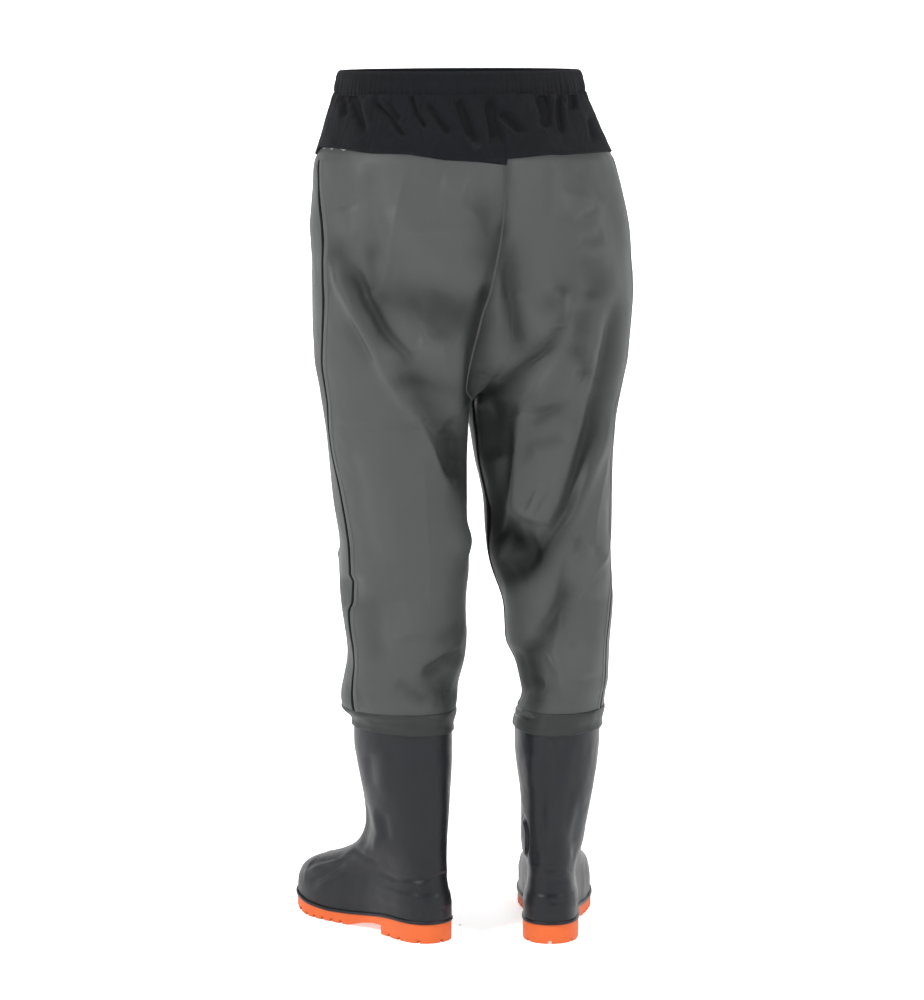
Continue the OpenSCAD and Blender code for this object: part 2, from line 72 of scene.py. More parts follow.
RIGHT_LEG = [
    [250, 116.7, 18.7, 59.8, 80, 23.4], [290, 116.7, 18.7, 59.8, 80, 23.4], [299, 116.9, 18.9, 59.8, 80, 23.4],
    [306, 119.5, 21, 58, 80, 23], [325, 122, 27, 55.5, 78, 22], [345, 121, 31, 58, 80, 20], [372, 118, 31, 62, 84, 18],
    [399, 113, 28, 69, 87, 16], [452, 113, 24, 74, 90, 14], [506, 105, 19, 82, 92, 11], [540, 104, 18, 84, 93, 9],
    [586, 103, 16, 85, 96, 6], [640, 98.5, 11.5, 90.5, 97, 3], [692, 99.5, 4.2, 96, 102.5, 0]]
LEAN = np.array([[690, 0, 0], [903, 0, 0], [955, 2, 0], [1007, 5, -1], [1043, 8, -3], [1095, 12, -4], [1150, 14, -5], [1160, 14, -5]], float)
LT = np.array(LEFT_LEG + TRUNK, float)
RT = np.array(RIGHT_LEG + TRUNK, float)
BOOT = np.array([
    [24, 36, 251, 0.97, 0, 38, 3], [35, 38, 253, 0.98, 0, 38, 3], [48, 37.5, 251, 0.97, 0, 38, 3.4], [58, 36, 246, 0.94, 0, 38, 4],
    [66, 34, 238, 0.91, 0, 38, 5.5], [72, 33, 227, 0.88, 0.05, 38, 7.5], [78, 32, 210, 0.86, 0.1, 38, 10], [84, 31, 192, 0.85, 0.2, 38, 9.5],
    [92, 32.5, 169, 0.84, 0.38, 39, 8], [102, 32, 147, 0.84, 0.6, 40.5, 6], [114, 31.5, 128, 0.85, 0.8, 42, 5], [128, 31.5, 115, 0.86, 0.93, 42.5, 4],
    [146, 32, 108.5, 0.9, 1, 43, 3], [170, 32.5, 108, 0.9, 1, 45.5, 2.6], [200, 32.5, 111.5, 0.9, 1, 49.5, 2.6], [230, 32, 117, 0.9, 1, 54, 2.6],
    [258, 31, 123, 0.9, 1, 56.5, 2.6], [305, 31, 123, 0.9, 1, 57, 2.6]])
FULL = np.array([[0, 73, 73], [0.08, 61, 61], [0.13, 54, 54], [0.25, 42.5, 41], [0.4, 36, 31], [0.5, 39, 30], [0.6, 47, 37], [0.7, 56, 48], [0.8, 65, 61], [0.9, 73, 75], [1, 80, 86]])
TOP = np.array([[-40, 27], [20, 27], [45, 25.5], [80, 20.5], [110, 17], [150, 15.5], [190, 18], [220, 22.5], [240, 26], [255, 29]], float)
SHAFT_LEAN = np.array([[84, 0], [114, 0.4], [146, 3], [175, 6.4], [200, 8], [310, 8]])
PLACE = {1: (65.6, -2.6, 18.0), -1: (-91.1, 57.7, -23.4)}
WAIST_TOP, CASING_H, SEAM_Z, CROTCH_Z = 1150.0, 30.0, 1042.0, 705.0
CUFF_Z0, HEM_Z0 = 280.0, 302.0


def row(T, z):
    z = np.asarray(z, float)
    x = T[:, 0]
    i = np.clip(np.searchsorted(x, z, side="right") - 1, 0, len(x) - 2)
    m = np.empty_like(T)
    m[0] = (T[1] - T[0]) / (x[1] - x[0])
    m[-1] = (T[-1] - T[-2]) / (x[-1] - x[-2])
    m[1:-1] = (T[2:] - T[:-2]) / (x[2:] - x[:-2])[:, None]
    h = (x[i + 1] - x[i])
    t = np.clip((z - x[i]) / h, 0, 1)
    h, t = h[..., None], t[..., None]
    return T[i] * (2 * t ** 3 - 3 * t ** 2 + 1) + m[i] * h * (t ** 3 - 2 * t ** 2 + t) + T[i + 1] * (-2 * t ** 3 + 3 * t ** 2) + m[i + 1] * h * (t ** 3 - t ** 2)


def smooth(a, b, x):
    t = np.clip((x - a) / (b - a), 0, 1)
    return t * t * (3 - 2 * t)


def wall(s, z, f, off=0.0):
    """A point of the garment's wall on one side, in mm before the shift. f is 0 at the outseam, 1 at the back middle and -1 at the front middle."""
    z, f = np.broadcast_arrays(np.asarray(z, float), np.asarray(f, float))
    r, l = row(LT if s > 0 else RT, z), row(LEAN, z)
    a, b, c = r[..., 3] - off, r[..., 4] - off, r[..., 1]
    clip = np.where(c >= a, math.pi, np.arccos(np.clip(-c / a, -1, 1)))
    # near the crotch only the innermost cloth slides towards the middle, so that the grid isn't sheared
    power = 1 + 4 * smooth(0.75, 1.0, clip / math.pi)
    th, turn = math.pi * f - (math.pi - clip) * np.sign(f) * abs(f) ** power, np.radians(r[..., 5])
    u, v = a * np.cos(th), b * np.sin(th)
    x = l[..., 1] * s + r[..., 1] + u * np.cos(turn) - v * np.sin(turn)
    y = l[..., 2] + r[..., 2] + u * np.sin(turn) + v * np.cos(turn)
    # the crotch hangs a little to the left and is drawn up
    pull = np.exp(-(x / 42) ** 2 - ((z - CROTCH_Z) / 46) ** 2)
    return np.stack([s * x + 7 * pull, y, z + 21 * pull], -1)


def unit(v):
    return v / np.maximum(np.linalg.norm(v, axis=-1, keepdims=True), 1e-9)


# ------------------------------------------------------------------ the camera, at the photograph's angle
CAM = np.array([1.7337, 4.5239, 1.25])
AIM = np.array([0.0135, 0.0427, 0.586])
FOCAL = 3673.0
_d = unit(AIM - CAM)
_r = unit(np.cross(_d, [0, 0, 1]))
_u = np.cross(_r, _d)


def seen(P, N):
    """Where points (mm, before the shift) fall in the picture, and how squarely they face the camera."""
    v = (P + SHIFT) / 1000 - CAM
    w = v @ _d
    return 462 + FOCAL * (v @ _r) / w, 500 - FOCAL * (v @ _u) / w, -(N * unit(v)).sum(-1)


def stroke(x, y, points, kind, width):
    """The profile of one fold: 1 on the line through the points, falling off to its sides and towards its ends."""
    pts = np.array(points, float)
    if len(pts) == 1:
        return np.exp(-((x - pts[0, 0]) ** 2 + (y - pts[0, 1]) ** 2) / width ** 2)
    out = np.zeros_like(x)
    reach = 5 * width if kind == "c" else 3.2 * width
    box = (x > pts[:, 0].min() - reach) & (x < pts[:, 0].max() + reach) & (y > pts[:, 1].min() - reach) & (y < pts[:, 1].max() + reach)
    if not box.any():
        return out
    bx, by = x[box], y[box]
    best, along = np.full(bx.shape, 1e9), np.zeros_like(bx)
    seg = np.linalg.norm(np.diff(pts, axis=0), axis=1)
    total, run = seg.sum(), 0.0
    for k in range(len(seg)):
        a, d = pts[k], pts[k + 1] - pts[k]
        t = np.clip(((bx - a[0]) * d[0] + (by - a[1]) * d[1]) / (seg[k] ** 2), 0, 1)
        q = np.hypot(bx - a[0] - t * d[0], by - a[1] - t * d[1])
        near = q < best
        best[near] = q[near]
        along[near] = (run + t[near] * seg[k]) / total
        run += seg[k]
    fall = np.exp(-best / width) if kind == "c" else np.exp(-(best / width) ** 2)
    e0, e1 = (-0.12, 0.06) if kind == "s" else (-0.05, 0.22)
    ends = np.minimum(smooth(e0, e1, along), smooth(1 - e0, 1 - e1, along))
    out[box] = fall * ends
    return out


def waves(P, lo, hi, count, seed):
    """Soft irregular undulation of about unit height, wavelengths from lo to hi mm."""
    g = np.random.default_rng(seed)
    out = np.zeros(P.shape[:-1])
    for _ in range(count):
        d = unit(g.normal(size=3) * np.array([1, 1, 0.6]))
        out += np.sin(2 * math.pi * (P @ d) / g.uniform(lo, hi) + g.uniform(0, 6.28))
    return out / math.sqrt(count / 2)


# ------------------------------------------------------------------ folds: (profile, width, height in mm, line)
LEFT = [
    ("g", 8, -2.5, [(372, 160), (375, 220), (378, 270)]), ("c", 4, 1.5, [(409, 156), (394, 223), (388, 262), (380, 297)]),
    ("g", 5.5, -7, [(350, 263), (360, 286), (369, 304), (380, 329), (392, 343), (409, 360), (415, 366)]),
    ("g", 8, 3, [(368, 290), (382, 306)]),
    ("g", 6, 6, [(328, 249), (338, 278), (354, 309), (369, 338), (387, 370), (404, 398), (422, 425), (435, 454), (448, 477), (462, 498)]),
    ("g", 9, -6, [(404, 385), (425, 420), (440, 450), (455, 480)]), ("g", 6, -3, [(346, 320), (355, 335), (364, 349), (374, 364)]),
    ("g", 3, -3, [(400, 382), (426, 386), (447, 394)]), ("g", 6, -4, [(408, 297), (420, 313), (438, 332), (455, 341)]),
    ("g", 8, -3, [(424, 286), (442, 295), (460, 303)]), ("g", 3, -1.5, [(417, 221), (448, 223), (478, 225)]),
    ("g", 3, -1.5, [(394, 236), (415, 235)]), ("g", 4, 1.5, [(410, 168), (428, 181), (459, 189), (478, 203)]),
    ("g", 5, -2.5, [(465, 198), (482, 219), (488, 239)]), ("g", 3, -1.5, [(348, 195), (356, 200)]),
    ("g", 3, -1.5, [(331, 263), (331, 297)]), ("c", 2.5, 1.5, [(422, 442), (426, 502), (428, 540), (430, 600), (432, 630)]),
    ("g", 8, -6, [(452, 430), (454, 455), (456, 480)]), ("g", 4, -3, [(455, 419), (445, 438), (442, 451), (454, 483), (460, 496)]),
    ("b", 15, 4, [(468, 540)]), ("g", 12, -3, [(369, 589), (374, 640), (384, 663)]), ("g", 7, -3, [(395, 681), (412, 695), (429, 707)]),
    ("g", 6, 3, [(414, 663), (423, 686), (440, 708)]), ("g", 5, -5, [(463, 654), (446, 661), (429, 670), (421, 677)]),
    ("c", 3, -3, [(450, 686), (442, 698)])]
RIGHT = [
    ("g", 3, -2.5, [(496, 166), (496, 226)]), ("g", 2.5, 2.5, [(511, 168), (510, 219)]), ("g", 3, -2, [(516, 175), (511, 206)]),
    ("g", 6, -6, [(513, 235), (512, 262), (514, 290), (517, 316), (522, 345), (527, 352)]),
    ("c", 4, -5, [(555, 332), (551, 346), (540, 359), (523, 370), (506, 383), (495, 390)]), ("b", 18, 5, [(538, 320)]),
    ("c", 2, 2, [(504, 240), (498, 265), (491, 291)]), ("g", 4, 2.5, [(500, 280), (497, 300), (497, 315), (505, 325)]),
    ("g", 7, 4, [(560, 342), (548, 359), (537, 378), (528, 393), (519, 419), (517, 432), (515, 457), (514, 483), (515, 506), (521, 513), (536, 521), (552, 524)]),
    ("g", 7, -6, [(508, 419), (507, 451), (503, 483), (497, 508), (493, 540)]), ("g", 4, -3, [(521, 521), (536, 526), (549, 528)]),
    ("g", 6, -7, [(617, 300), (612, 340), (606, 375), (599, 402), (593, 425), (585, 451), (575, 483), (567, 508), (557, 525), (543, 547), (526, 563), (509, 572)]),
    ("g", 7, 4, [(610, 413), (598, 451), (582, 489), (572, 515), (557, 534), (542, 556), (531, 576)]),
    ("c", 2.5, -3, [(589, 369), (575, 390)]), ("g", 3, -2, [(575, 350), (588, 350)]), ("g", 3, -2, [(574, 373), (587, 371)]),
    ("c", 2.5, 1.5, [(592, 348), (592, 367)]), ("g", 8, -3, [(580, 304), (580, 355)]), ("g", 8, 3, [(557, 291), (557, 329)]),
    ("b", 3, -1.5, [(546, 301)]), ("g", 4, -3, [(531, 422), (549, 411), (562, 408)]), ("g", 5, -3, [(568, 434), (542, 441), (526, 445), (526, 464)]),
    ("c", 2, 1.5, [(612, 422), (604, 476), (595, 521), (593, 558)]),
    ("c", 2.5, 2.5, [(610, 547), (594, 566), (583, 583), (574, 600), (565, 615)]), ("g", 4, -3, [(579, 534), (579, 559)]),
    ("g", 4.5, -4, [(568, 556), (565, 579), (561, 600), (551, 617), (540, 631), (529, 639)]),
    ("g", 5, 3, [(563, 612), (558, 635), (555, 652), (560, 675), (567, 703)]), ("g", 3, -2, [(544, 655), (558, 675)]),
    ("g", 3, -3, [(529, 676), (544, 692)]), ("c", 3, 2, [(473, 401), (483, 406), (490, 419)]), ("c", 3, -2.5, [(575, 218), (599, 207)]),
    ("g", 5, -2.5, [(580, 241), (604, 235)]), ("g", 4, -2, [(574, 166), (588, 182), (606, 204)]), ("g", 6, -2, [(555, 160), (552, 188), (555, 219)])]
CREST = [
    [(328, 249), (338, 278), (354, 309), (369, 338), (387, 370), (404, 398), (422, 425), (435, 454), (448, 477), (462, 498)],
    [(560, 342), (548, 359), (537, 378), (528, 393), (519, 419), (517, 432), (515, 457), (514, 483)], [(515, 506), (521, 513), (536, 521), (552, 524)],
    [(610, 413), (598, 451), (582, 489), (572, 515), (557, 534), (542, 556)], [(610, 547), (594, 566), (583, 583), (574, 600), (565, 615)],
    [(473, 401), (483, 406), (490, 419)], [(463, 643), (446, 652), (429, 662), (415, 674)], [(408, 384), (426, 388), (447, 398), (460, 404)],
    [(394, 225), (388, 262), (380, 292)], [(563, 612), (558, 635), (555, 652), (560, 675)], [(576, 388), (588, 374)], [(400, 235), (430, 233), (462, 229)],
    [(524, 360), (540, 350), (553, 334)], [(424, 286), (444, 292), (462, 300)]]
BROAD = [
    ("g", 17, -9, [(425, 312), (450, 318), (475, 318), (500, 322)]), ("g", 14, 2.5, [(395, 205), (405, 235), (425, 262), (455, 262)]),
    ("g", 12, 4, [(415, 345), (435, 352), (450, 352)]), ("g", 10, -8, [(478, 330), (480, 352), (482, 378), (484, 402)]),
    ("g", 9, -6, [(488, 398), (492, 430), (497, 460)]), ("g", 11, 5, [(555, 285), (556, 310), (552, 330)]),
    ("g", 12, -6, [(500, 545), (520, 552), (540, 548)]), ("g", 12, 4, [(590, 545), (596, 575), (590, 600)]),
    ("g", 11, -5, [(528, 640), (536, 670), (534, 695)]), ("g", 12, 3, [(575, 640), (585, 680)]),
    ("g", 12, 4, [(365, 440), (375, 480), (385, 520), (395, 570)]), ("g", 9, -4, [(455, 440), (460, 462)]),
    ("g", 14, 3, [(530, 500), (540, 505)]), ("g", 10, 3.5, [(345, 205), (352, 240)]), ("g", 12, 3, [(440, 185), (470, 190)]),
    ("g", 14, 3, [(575, 190), (570, 220)]), ("g", 12, -3, [(590, 250), (594, 300)]), ("g", 9, -4, [(512, 262), (515, 300)]),
    ("g", 9, -3.5, [(350, 575), (352, 610)]), ("g", 12, 3, [(405, 600), (410, 640)])]
YOKE = [
    ("g", 3, -3, [(351, 73), (352, 98), (357, 108), (366, 136)]), ("g", 2.5, -2, [(342, 92), (345, 117)]),
    ("g", 2.5, -3, [(375, 101), (389, 116), (406, 139)]), ("g", 2.5, -2, [(388, 101), (401, 121)]),
    ("g", 2.5, -3, [(411, 93), (417, 114), (428, 131)]), ("g", 3, -3, [(428, 102), (439, 121), (450, 136)]),
    ("g", 3, -4, [(458, 97), (466, 121), (476, 147)]), ("g", 3, 1.5, [(467, 136), (479, 152)]), ("g", 2.5, -2, [(454, 98), (465, 114), (474, 139)]),
    ("g", 4, -5, [(487, 96), (491, 114), (496, 136), (500, 162)]), ("g", 3, -3, [(499, 111), (524, 134)]),
    ("g", 4, -3.5, [(540, 92), (546, 111), (547, 130)]), ("g", 2.5, -3, [(560, 92), (559, 114), (564, 136)]),
    ("g", 3, -3, [(571, 85), (574, 111)]), ("g", 2.5, -2, [(589, 114), (594, 143)])]
# painted shade: valleys whose colour is darkened to stand for the shade in them, and which are pressed in a little as
# well: (width, strength, line)
SHADE = [
    (5, 0.35, [(507, 165), (506, 200), (503, 235)]), (7, 0.55, [(503, 225), (497, 250), (490, 275), (484, 300)]), (7, 1.0, [(487, 290), (482, 312), (477, 335), (472, 365), (470, 392), (470, 410)]),
    (12, 0.75, [(482, 325), (478, 350), (474, 385)]), (14, 0.40, [(484, 205), (487, 235), (484, 262)]), (12, 0.45, [(336, 245), (346, 272), (360, 294), (373, 316), (384, 336)]),
    (18, 0.42, [(385, 298), (415, 300), (440, 305), (466, 316)]), (10, 0.30, [(408, 378), (435, 386), (462, 394)]), (13, 0.38, [(405, 368), (425, 395), (445, 425), (458, 462), (462, 492)]),
    (9, 0.35, [(470, 420), (466, 460), (466, 500)]), (10, 0.30, [(425, 674), (445, 660), (466, 644)]), (12, 0.45, [(440, 678), (452, 690), (460, 702)]), (9, 0.30, [(346, 650), (352, 680), (356, 700)]),
    (13, 0.4, [(503, 250), (508, 285), (514, 320), (520, 345)]), (9, 0.55, [(566, 312), (552, 336), (530, 362), (505, 384), (485, 398)]),
    (14, 0.36, [(497, 400), (506, 430), (507, 468), (502, 500), (497, 530)]), (9, 0.45, [(484, 420), (488, 460), (491, 510)]), (19, 1.0, [(498, 532), (520, 545), (532, 556), (512, 572)]),
    (9, 0.55, [(617, 310), (606, 372), (593, 430), (577, 486), (556, 538), (530, 568), (508, 580)]), (10, 0.55, [(566, 590), (556, 620), (540, 642), (524, 655)]),
    (11, 0.5, [(520, 662), (530, 684), (534, 704)]), (11, 0.35, [(545, 306), (566, 290)]), (12, 0.30, [(604, 276), (594, 305), (582, 333)]), (8, 0.35, [(575, 350), (584, 362), (589, 376)]),
    (7, 0.30, [(369, 250), (374, 285), (381, 300)]), (8, 0.25, [(396, 380), (420, 384)]), (9, 0.35, [(452, 430), (457, 470)]), (7, 0.25, [(541, 412), (560, 408)]), (9, 0.3, [(440, 640), (462, 628)]),
    (13, 0.4, [(428, 690), (440, 700), (452, 712)]), (10, 0.35, [(524, 664), (529, 700)])]
CENTRE = [(506, 162), (507, 200), (506, 226), (504, 240), (496, 269), (490, 291), (484, 305), (480, 325), (473, 345)]


# ------------------------------------------------------------------ mesh helpers
def new_mesh(name, verts, faces, mats, mat_index=None, normals=None, uv=None, attrs=None):
    me = bpy.data.meshes.new(name)
    me.from_pydata([tuple(v) for v in verts], [], faces)
    me.polygons.foreach_set("use_smooth", [True] * len(me.polygons))
    for m in mats:
        me.materials.append(m)
    if mat_index is not None:
        me.polygons.foreach_set("material_index", np.asarray(mat_index, np.int32))
    if uv is not None:
        layer = me.uv_layers.new(name="UVMap")
        loops = np.empty(len(me.loops), np.int32)
        me.loops.foreach_get("vertex_index", loops)
        layer.data.foreach_set("uv", np.asarray(uv, np.float32)[loops].ravel())
    for key, value in (attrs or {}).items():
        a = me.attributes.new(key, "FLOAT", "POINT")
        a.data.foreach_set("value", np.asarray(value, np.float32))
    me.update()
    if normals is not None:
        me.normals_split_custom_set_from_vertices([tuple(n) for n in normals])
    o = bpy.data.objects.new(name, me)
    bpy.context.scene.collection.objects.link(o)
    return o


def quads(m, n, base=0, wrap=False, flip=False):
    j, i = np.meshgrid(np.arange(m - 1), np.arange(n if wrap else n - 1), indexing="ij")
    l = (i + 1) % n
    q = np.stack([j * n + i, j * n + l, (j + 1) * n + l, (j + 1) * n + i], -1).reshape(-1, 4) + base
    return q[:, ::-1] if flip else q


def world(P):
    return (P + SHIFT) / 1000


def thin(P, step):
    r = np.unique(np.r_[np.arange(0, P.shape[0], step), P.shape[0] - 1])
    c = np.unique(np.r_[np.arange(0, P.shape[1], step), P.shape[1] - 1])
    return P[np.ix_(r, c)]


def cloth_piece(name, P, N, mats, flip, uv, attrs, thickness=1.1, inner_step=1):
    """A two-faced piece of fabric from a grid of outer points (mm): the outside and the inside."""
    m, n = P.shape[:2]
    Pi, Ni = thin(P, inner_step), thin(N, inner_step)
    mi, ni = Pi.shape[:2]
    verts = np.concatenate([world(P).reshape(-1, 3), world(Pi - Ni * thickness).reshape(-1, 3)])
    normals = np.concatenate([N.reshape(-1, 3), -Ni.reshape(-1, 3)])
    fo, fi = quads(m, n, 0, flip=flip), quads(mi, ni, m * n, flip=not flip)
    uvs = np.concatenate([uv.reshape(-1, 2), thin(uv, inner_step).reshape(-1, 2)])
    at = {k: np.concatenate([v.ravel(), thin(v, inner_step).ravel()]) for k, v in attrs.items()}
    return new_mesh(name, verts, np.concatenate([fo, fi]).tolist(), mats, [0] * len(fo) + [1] * len(fi), normals, uvs, at)


# ------------------------------------------------------------------ materials
def material(name, base, dark, light, rough, grain, bump, coat=0.0, sheen=0.0, weave=None, specular=0.5, mottle=(9.0, 60.0), wear_and_highlight=0.0, shade_and_dust=0.0, smudge=0.0, metal=0.0):
    """A procedural finish: mottled colour between dark and light, grain and weave in the bump, varied roughness, ridges
    made lighter (partly wear, partly painted highlight) and valleys darker (painted shade with some dust).
    """
    m = bpy.data.materials.new(name)
    m.use_nodes = True
    nt = m.node_tree
    nt.nodes.clear()
    L = nt.links
    out = nt.nodes.new("ShaderNodeOutputMaterial")
    b = nt.nodes.new("ShaderNodeBsdfPrincipled")
    L.new(b.outputs[0], out.inputs["Surface"])
    co = nt.nodes.new("ShaderNodeTexCoord")

    def noise(scale, detail, vec=None, rough_=0.5):
        t = nt.nodes.new("ShaderNodeTexNoise")
        t.inputs["Scale"].default_value = scale
        t.inputs["Detail"].default_value = detail
        t.inputs["Roughness"].default_value = rough_
        L.new(vec or co.outputs["Object"], t.inputs["Vector"])
        return t.outputs[0]

    def mapr(v, a0, a1, b0, b1):
        t = nt.nodes.new("ShaderNodeMapRange")
        for k, x in (("From Min", a0), ("From Max", a1), ("To Min", b0), ("To Max", b1)):
            t.inputs[k].default_value = x
        L.new(v, t.inputs["Value"])
        return t.outputs[0]

    def math_(op, a, c):
        t = nt.nodes.new("ShaderNodeMath")
        t.operation = op
        for k, x in enumerate((a, c)):
            if isinstance(x, (int, float)):
                t.inputs[k].default_value = x
            else:
                L.new(x, t.inputs[k])
        return t.outputs[0]

    def mix(fac, a, c):
        t = nt.nodes.new("ShaderNodeMix")
        t.data_type = "RGBA"
        if isinstance(fac, (int, float)):
            t.inputs[0].default_value = fac
        else:
            L.new(fac, t.inputs[0])
        for k, x in ((6, a), (7, c)):
            if isinstance(x, tuple):
                t.inputs[k].default_value = (*x, 1)
            else:
                L.new(x, t.inputs[k])
        return t.outputs[2]

    big = mapr(noise(mottle[0], 3), 0.3, 0.7, 0, 1)
    col = mix(big, dark, light)
    fine = mapr(noise(mottle[1], 4), 0.25, 0.75, 0, 1)
    col = mix(math_("MULTIPLY", fine, 0.35), col, base)
    if smudge:
        spots = mapr(noise(14.0, 6, rough_=0.7), 0.56, 0.72, 0, smudge)
        col = mix(spots, col, tuple(min(1, x * 1.35 + 0.012) for x in light))
    # painted light by fold height: ridges lighter, partly as wear and partly as painted highlight; valleys darker, as
    # painted shade with some dust
    if wear_and_highlight or shade_and_dust:
        at = nt.nodes.new("ShaderNodeAttribute")
        at.attribute_name = "fold"
        if wear_and_highlight:
            col = mix(mapr(at.outputs["Fac"], 0.5, 7.0, 0, wear_and_highlight), col, tuple(min(1, x * 1.45 + 0.01) for x in light))
        if shade_and_dust:
            col = mix(mapr(at.outputs["Fac"], -1.0, -11.0, 0, shade_and_dust), col, tuple(x * 0.42 for x in dark))
            # the 'shade' attribute darkens the colour further, as painted shade in the listed dark valleys
            sh = nt.nodes.new("ShaderNodeAttribute")
            sh.attribute_name = "shade"
            col = mix(sh.outputs["Fac"], col, tuple(x * 0.1 for x in dark))
    L.new(col, b.inputs["Base Color"])
    r = math_("ADD", mapr(noise(mottle[0] * 2.3, 3), 0.3, 0.7, rough - 0.05, rough + 0.06), mapr(noise(grain, 2), 0.3, 0.7, -0.03, 0.03))
    L.new(r, b.inputs["Roughness"])
    b.inputs["Specular IOR Level"].default_value = specular
    b.inputs["Metallic"].default_value = metal
    if coat:
        b.inputs["Coat Weight"].default_value = coat
        b.inputs["Coat Roughness"].default_value = 0.45
    if sheen:
        b.inputs["Sheen Weight"].default_value = sheen
        b.inputs["Sheen Roughness"].default_value = 0.55
    h = math_("MULTIPLY", noise(grain, 3), 1.0)
    if weave:
        vec = co.outputs["UV"]
        wx = nt.nodes.new("ShaderNodeTexWave")
        wx.bands_direction = "X"
        wy = nt.nodes.new("ShaderNodeTexWave")
        wy.bands_direction = "Y"
        for w in (wx, wy):
            w.inputs["Scale"].default_value = weave
            w.inputs["Distortion"].default_value = 0.6
            w.inputs["Detail"].default_value = 1.0
            L.new(vec, w.inputs["Vector"])
        thread = math_("MULTIPLY", wx.outputs["Fac"], wy.outputs["Fac"])
        h = math_("ADD", h, math_("MULTIPLY", thread, 1.2))
        tone = mapr(thread, 0, 1, 0.82, 1.1)
        mult = nt.nodes.new("ShaderNodeMix")
        mult.data_type = "RGBA"
        mult.blend_type = "MULTIPLY"
        mult.inputs[0].default_value = 1.0
        L.new(col, mult.inputs[6])
        comb = nt.nodes.new("ShaderNodeCombineColor")
        for k in range(3):
            L.new(tone, comb.inputs[k])
        L.new(comb.outputs[0], mult.inputs[7])
        L.new(mult.outputs[2], b.inputs["Base Color"])
    bp = nt.nodes.new("ShaderNodeBump")
    bp.inputs["Strength"].default_value = bump
    bp.inputs["Distance"].default_value = 0.0006
    L.new(h, bp.inputs["Height"])
    L.new(bp.outputs[0], b.inputs["Normal"])
    return m


def lin(r, g, b):
    return tuple((c / 255 / 12.92) if c <= 10 else ((c / 255 + 0.055) / 1.055) ** 2.4 for c in (r, g, b))


def shades(rgb, spread=0.1):
    c = lin(*rgb)
    return c, tuple(x * (1 - spread) for x in c), tuple(x * (1 + spread) for x in c)


# the ridge lightening in these finishes is partly wear and partly painted highlight, the valley darkening painted shade
# with some dust; on the yoke both are strong, as painted highlight and shade on its pleats
M = {
    "leg": material("leg_pvc", *shades((59, 61.5, 60.5), 0.05), rough=0.47, grain=1500, bump=0.22, specular=0.12, mottle=(5.0, 45.0), wear_and_highlight=0.12, shade_and_dust=0.5, smudge=0.05),
    "leg_inside": material("leg_backing", *shades((96, 98, 98), 0.12), rough=0.85, grain=1200, bump=0.6, sheen=0.3, weave=420, specular=0.2),
    "seam": material("seam_dark", *shades((13, 13, 13), 0.12), rough=0.8, grain=1400, bump=0.3, specular=0.05),
    # the centre seam's darker colour is painted shade for the groove along the seam
    "centre": material("seam_soft", *shades((40, 42, 41), 0.1), rough=0.5, grain=1400, bump=0.3, specular=0.3),
    "welt": material("seam_welt", *shades((59, 61.5, 60.5), 0.08), rough=0.5, grain=1500, bump=0.25, specular=0.2),
    "cuff": material("cuff_pvc", *shades((38, 39.5, 39), 0.08), rough=0.5, grain=1400, bump=0.3, specular=0.15, mottle=(10.0, 60.0), wear_and_highlight=0.2, shade_and_dust=0.4),
    "yoke": material("yoke_cloth", *shades((17, 18, 22), 0.14), rough=0.88, grain=1600, bump=0.7, sheen=0.03, weave=520, specular=0.07, mottle=(8.0, 90.0), wear_and_highlight=1.0, shade_and_dust=1.0),
    "boot": material("boot_pvc", *shades((20, 21, 25), 0.1), rough=0.40, grain=900, bump=0.3, specular=0.2, mottle=(11.0, 70.0), wear_and_highlight=0.3, shade_and_dust=0.5, smudge=0.12),
    "orange": material("outsole_pvc", *shades((186, 81, 29), 0.07), rough=0.6, grain=700, bump=0.4, specular=0.35, mottle=(14.0, 90.0), smudge=0.12),
    "elastic": material("elastic_web", *shades((205, 203, 198), 0.08), rough=0.85, grain=1500, bump=0.8, sheen=0.3, specular=0.2),
    "tape": material("inner_tape", *shades((120, 123, 122), 0.08), rough=0.6, grain=1200, bump=0.4, specular=0.35),
    "lining": material("boot_lining", *shades((150, 150, 150), 0.12), rough=0.9, grain=900, bump=0.9, sheen=0.4, specular=0.15),
    "insole": material("insole_felt", *shades((96, 97, 101), 0.14), rough=0.95, grain=700, bump=1.0, sheen=0.5, specular=0.1),
}

# ------------------------------------------------------------------ legs and seat: one grid a side
NC = 321
FR = np.linspace(-1, 1, NC)
ZR = np.r_[np.linspace(HEM_Z0, CROTCH_Z, 170), CROTCH_Z + 0.4 * np.arange(1, 11) ** 2, np.linspace(745, 1058, 132)[1:]]
CUT_LOW, CUT_MID = int(np.argmin(abs(ZR - 375))), int(np.argmin(abs(ZR - 560)))
BELOW = ZR <= CROTCH_Z


def grid_normals(P, s):
    du = np.gradient(P, axis=0)
    dv = np.gradient(P, axis=1)
    wrap = BELOW
    w = (P[wrap, 1] - P[wrap, -2]) / 2
    dv[wrap, 0], dv[wrap, -1] = w, w
    n = unit(np.cross(dv, du)) * s
    above = ~BELOW
    for c in (0, -1):
        n[above, c, 0] = 0
        n[above, c] = unit(n[above, c])
    return n


def blur(A, r0, r1):
    """Gaussian smoothing over the grid, with spreads r0 and r1 in cells."""
    for axis, r in ((0, r0), (1, r1)):
        k = int(3 * r) + 1
        w = np.exp(-0.5 * (np.arange(-k, k + 1) / r) ** 2)
        w /= w.sum()
        pad = [(k, k) if q == axis else (0, 0) for q in (0, 1)]
        B = np.pad(A, pad, mode="edge")
        A = sum(w[q] * np.take(B, np.arange(q, q + A.shape[axis]), axis=axis) for q in range(2 * k + 1))
    return A


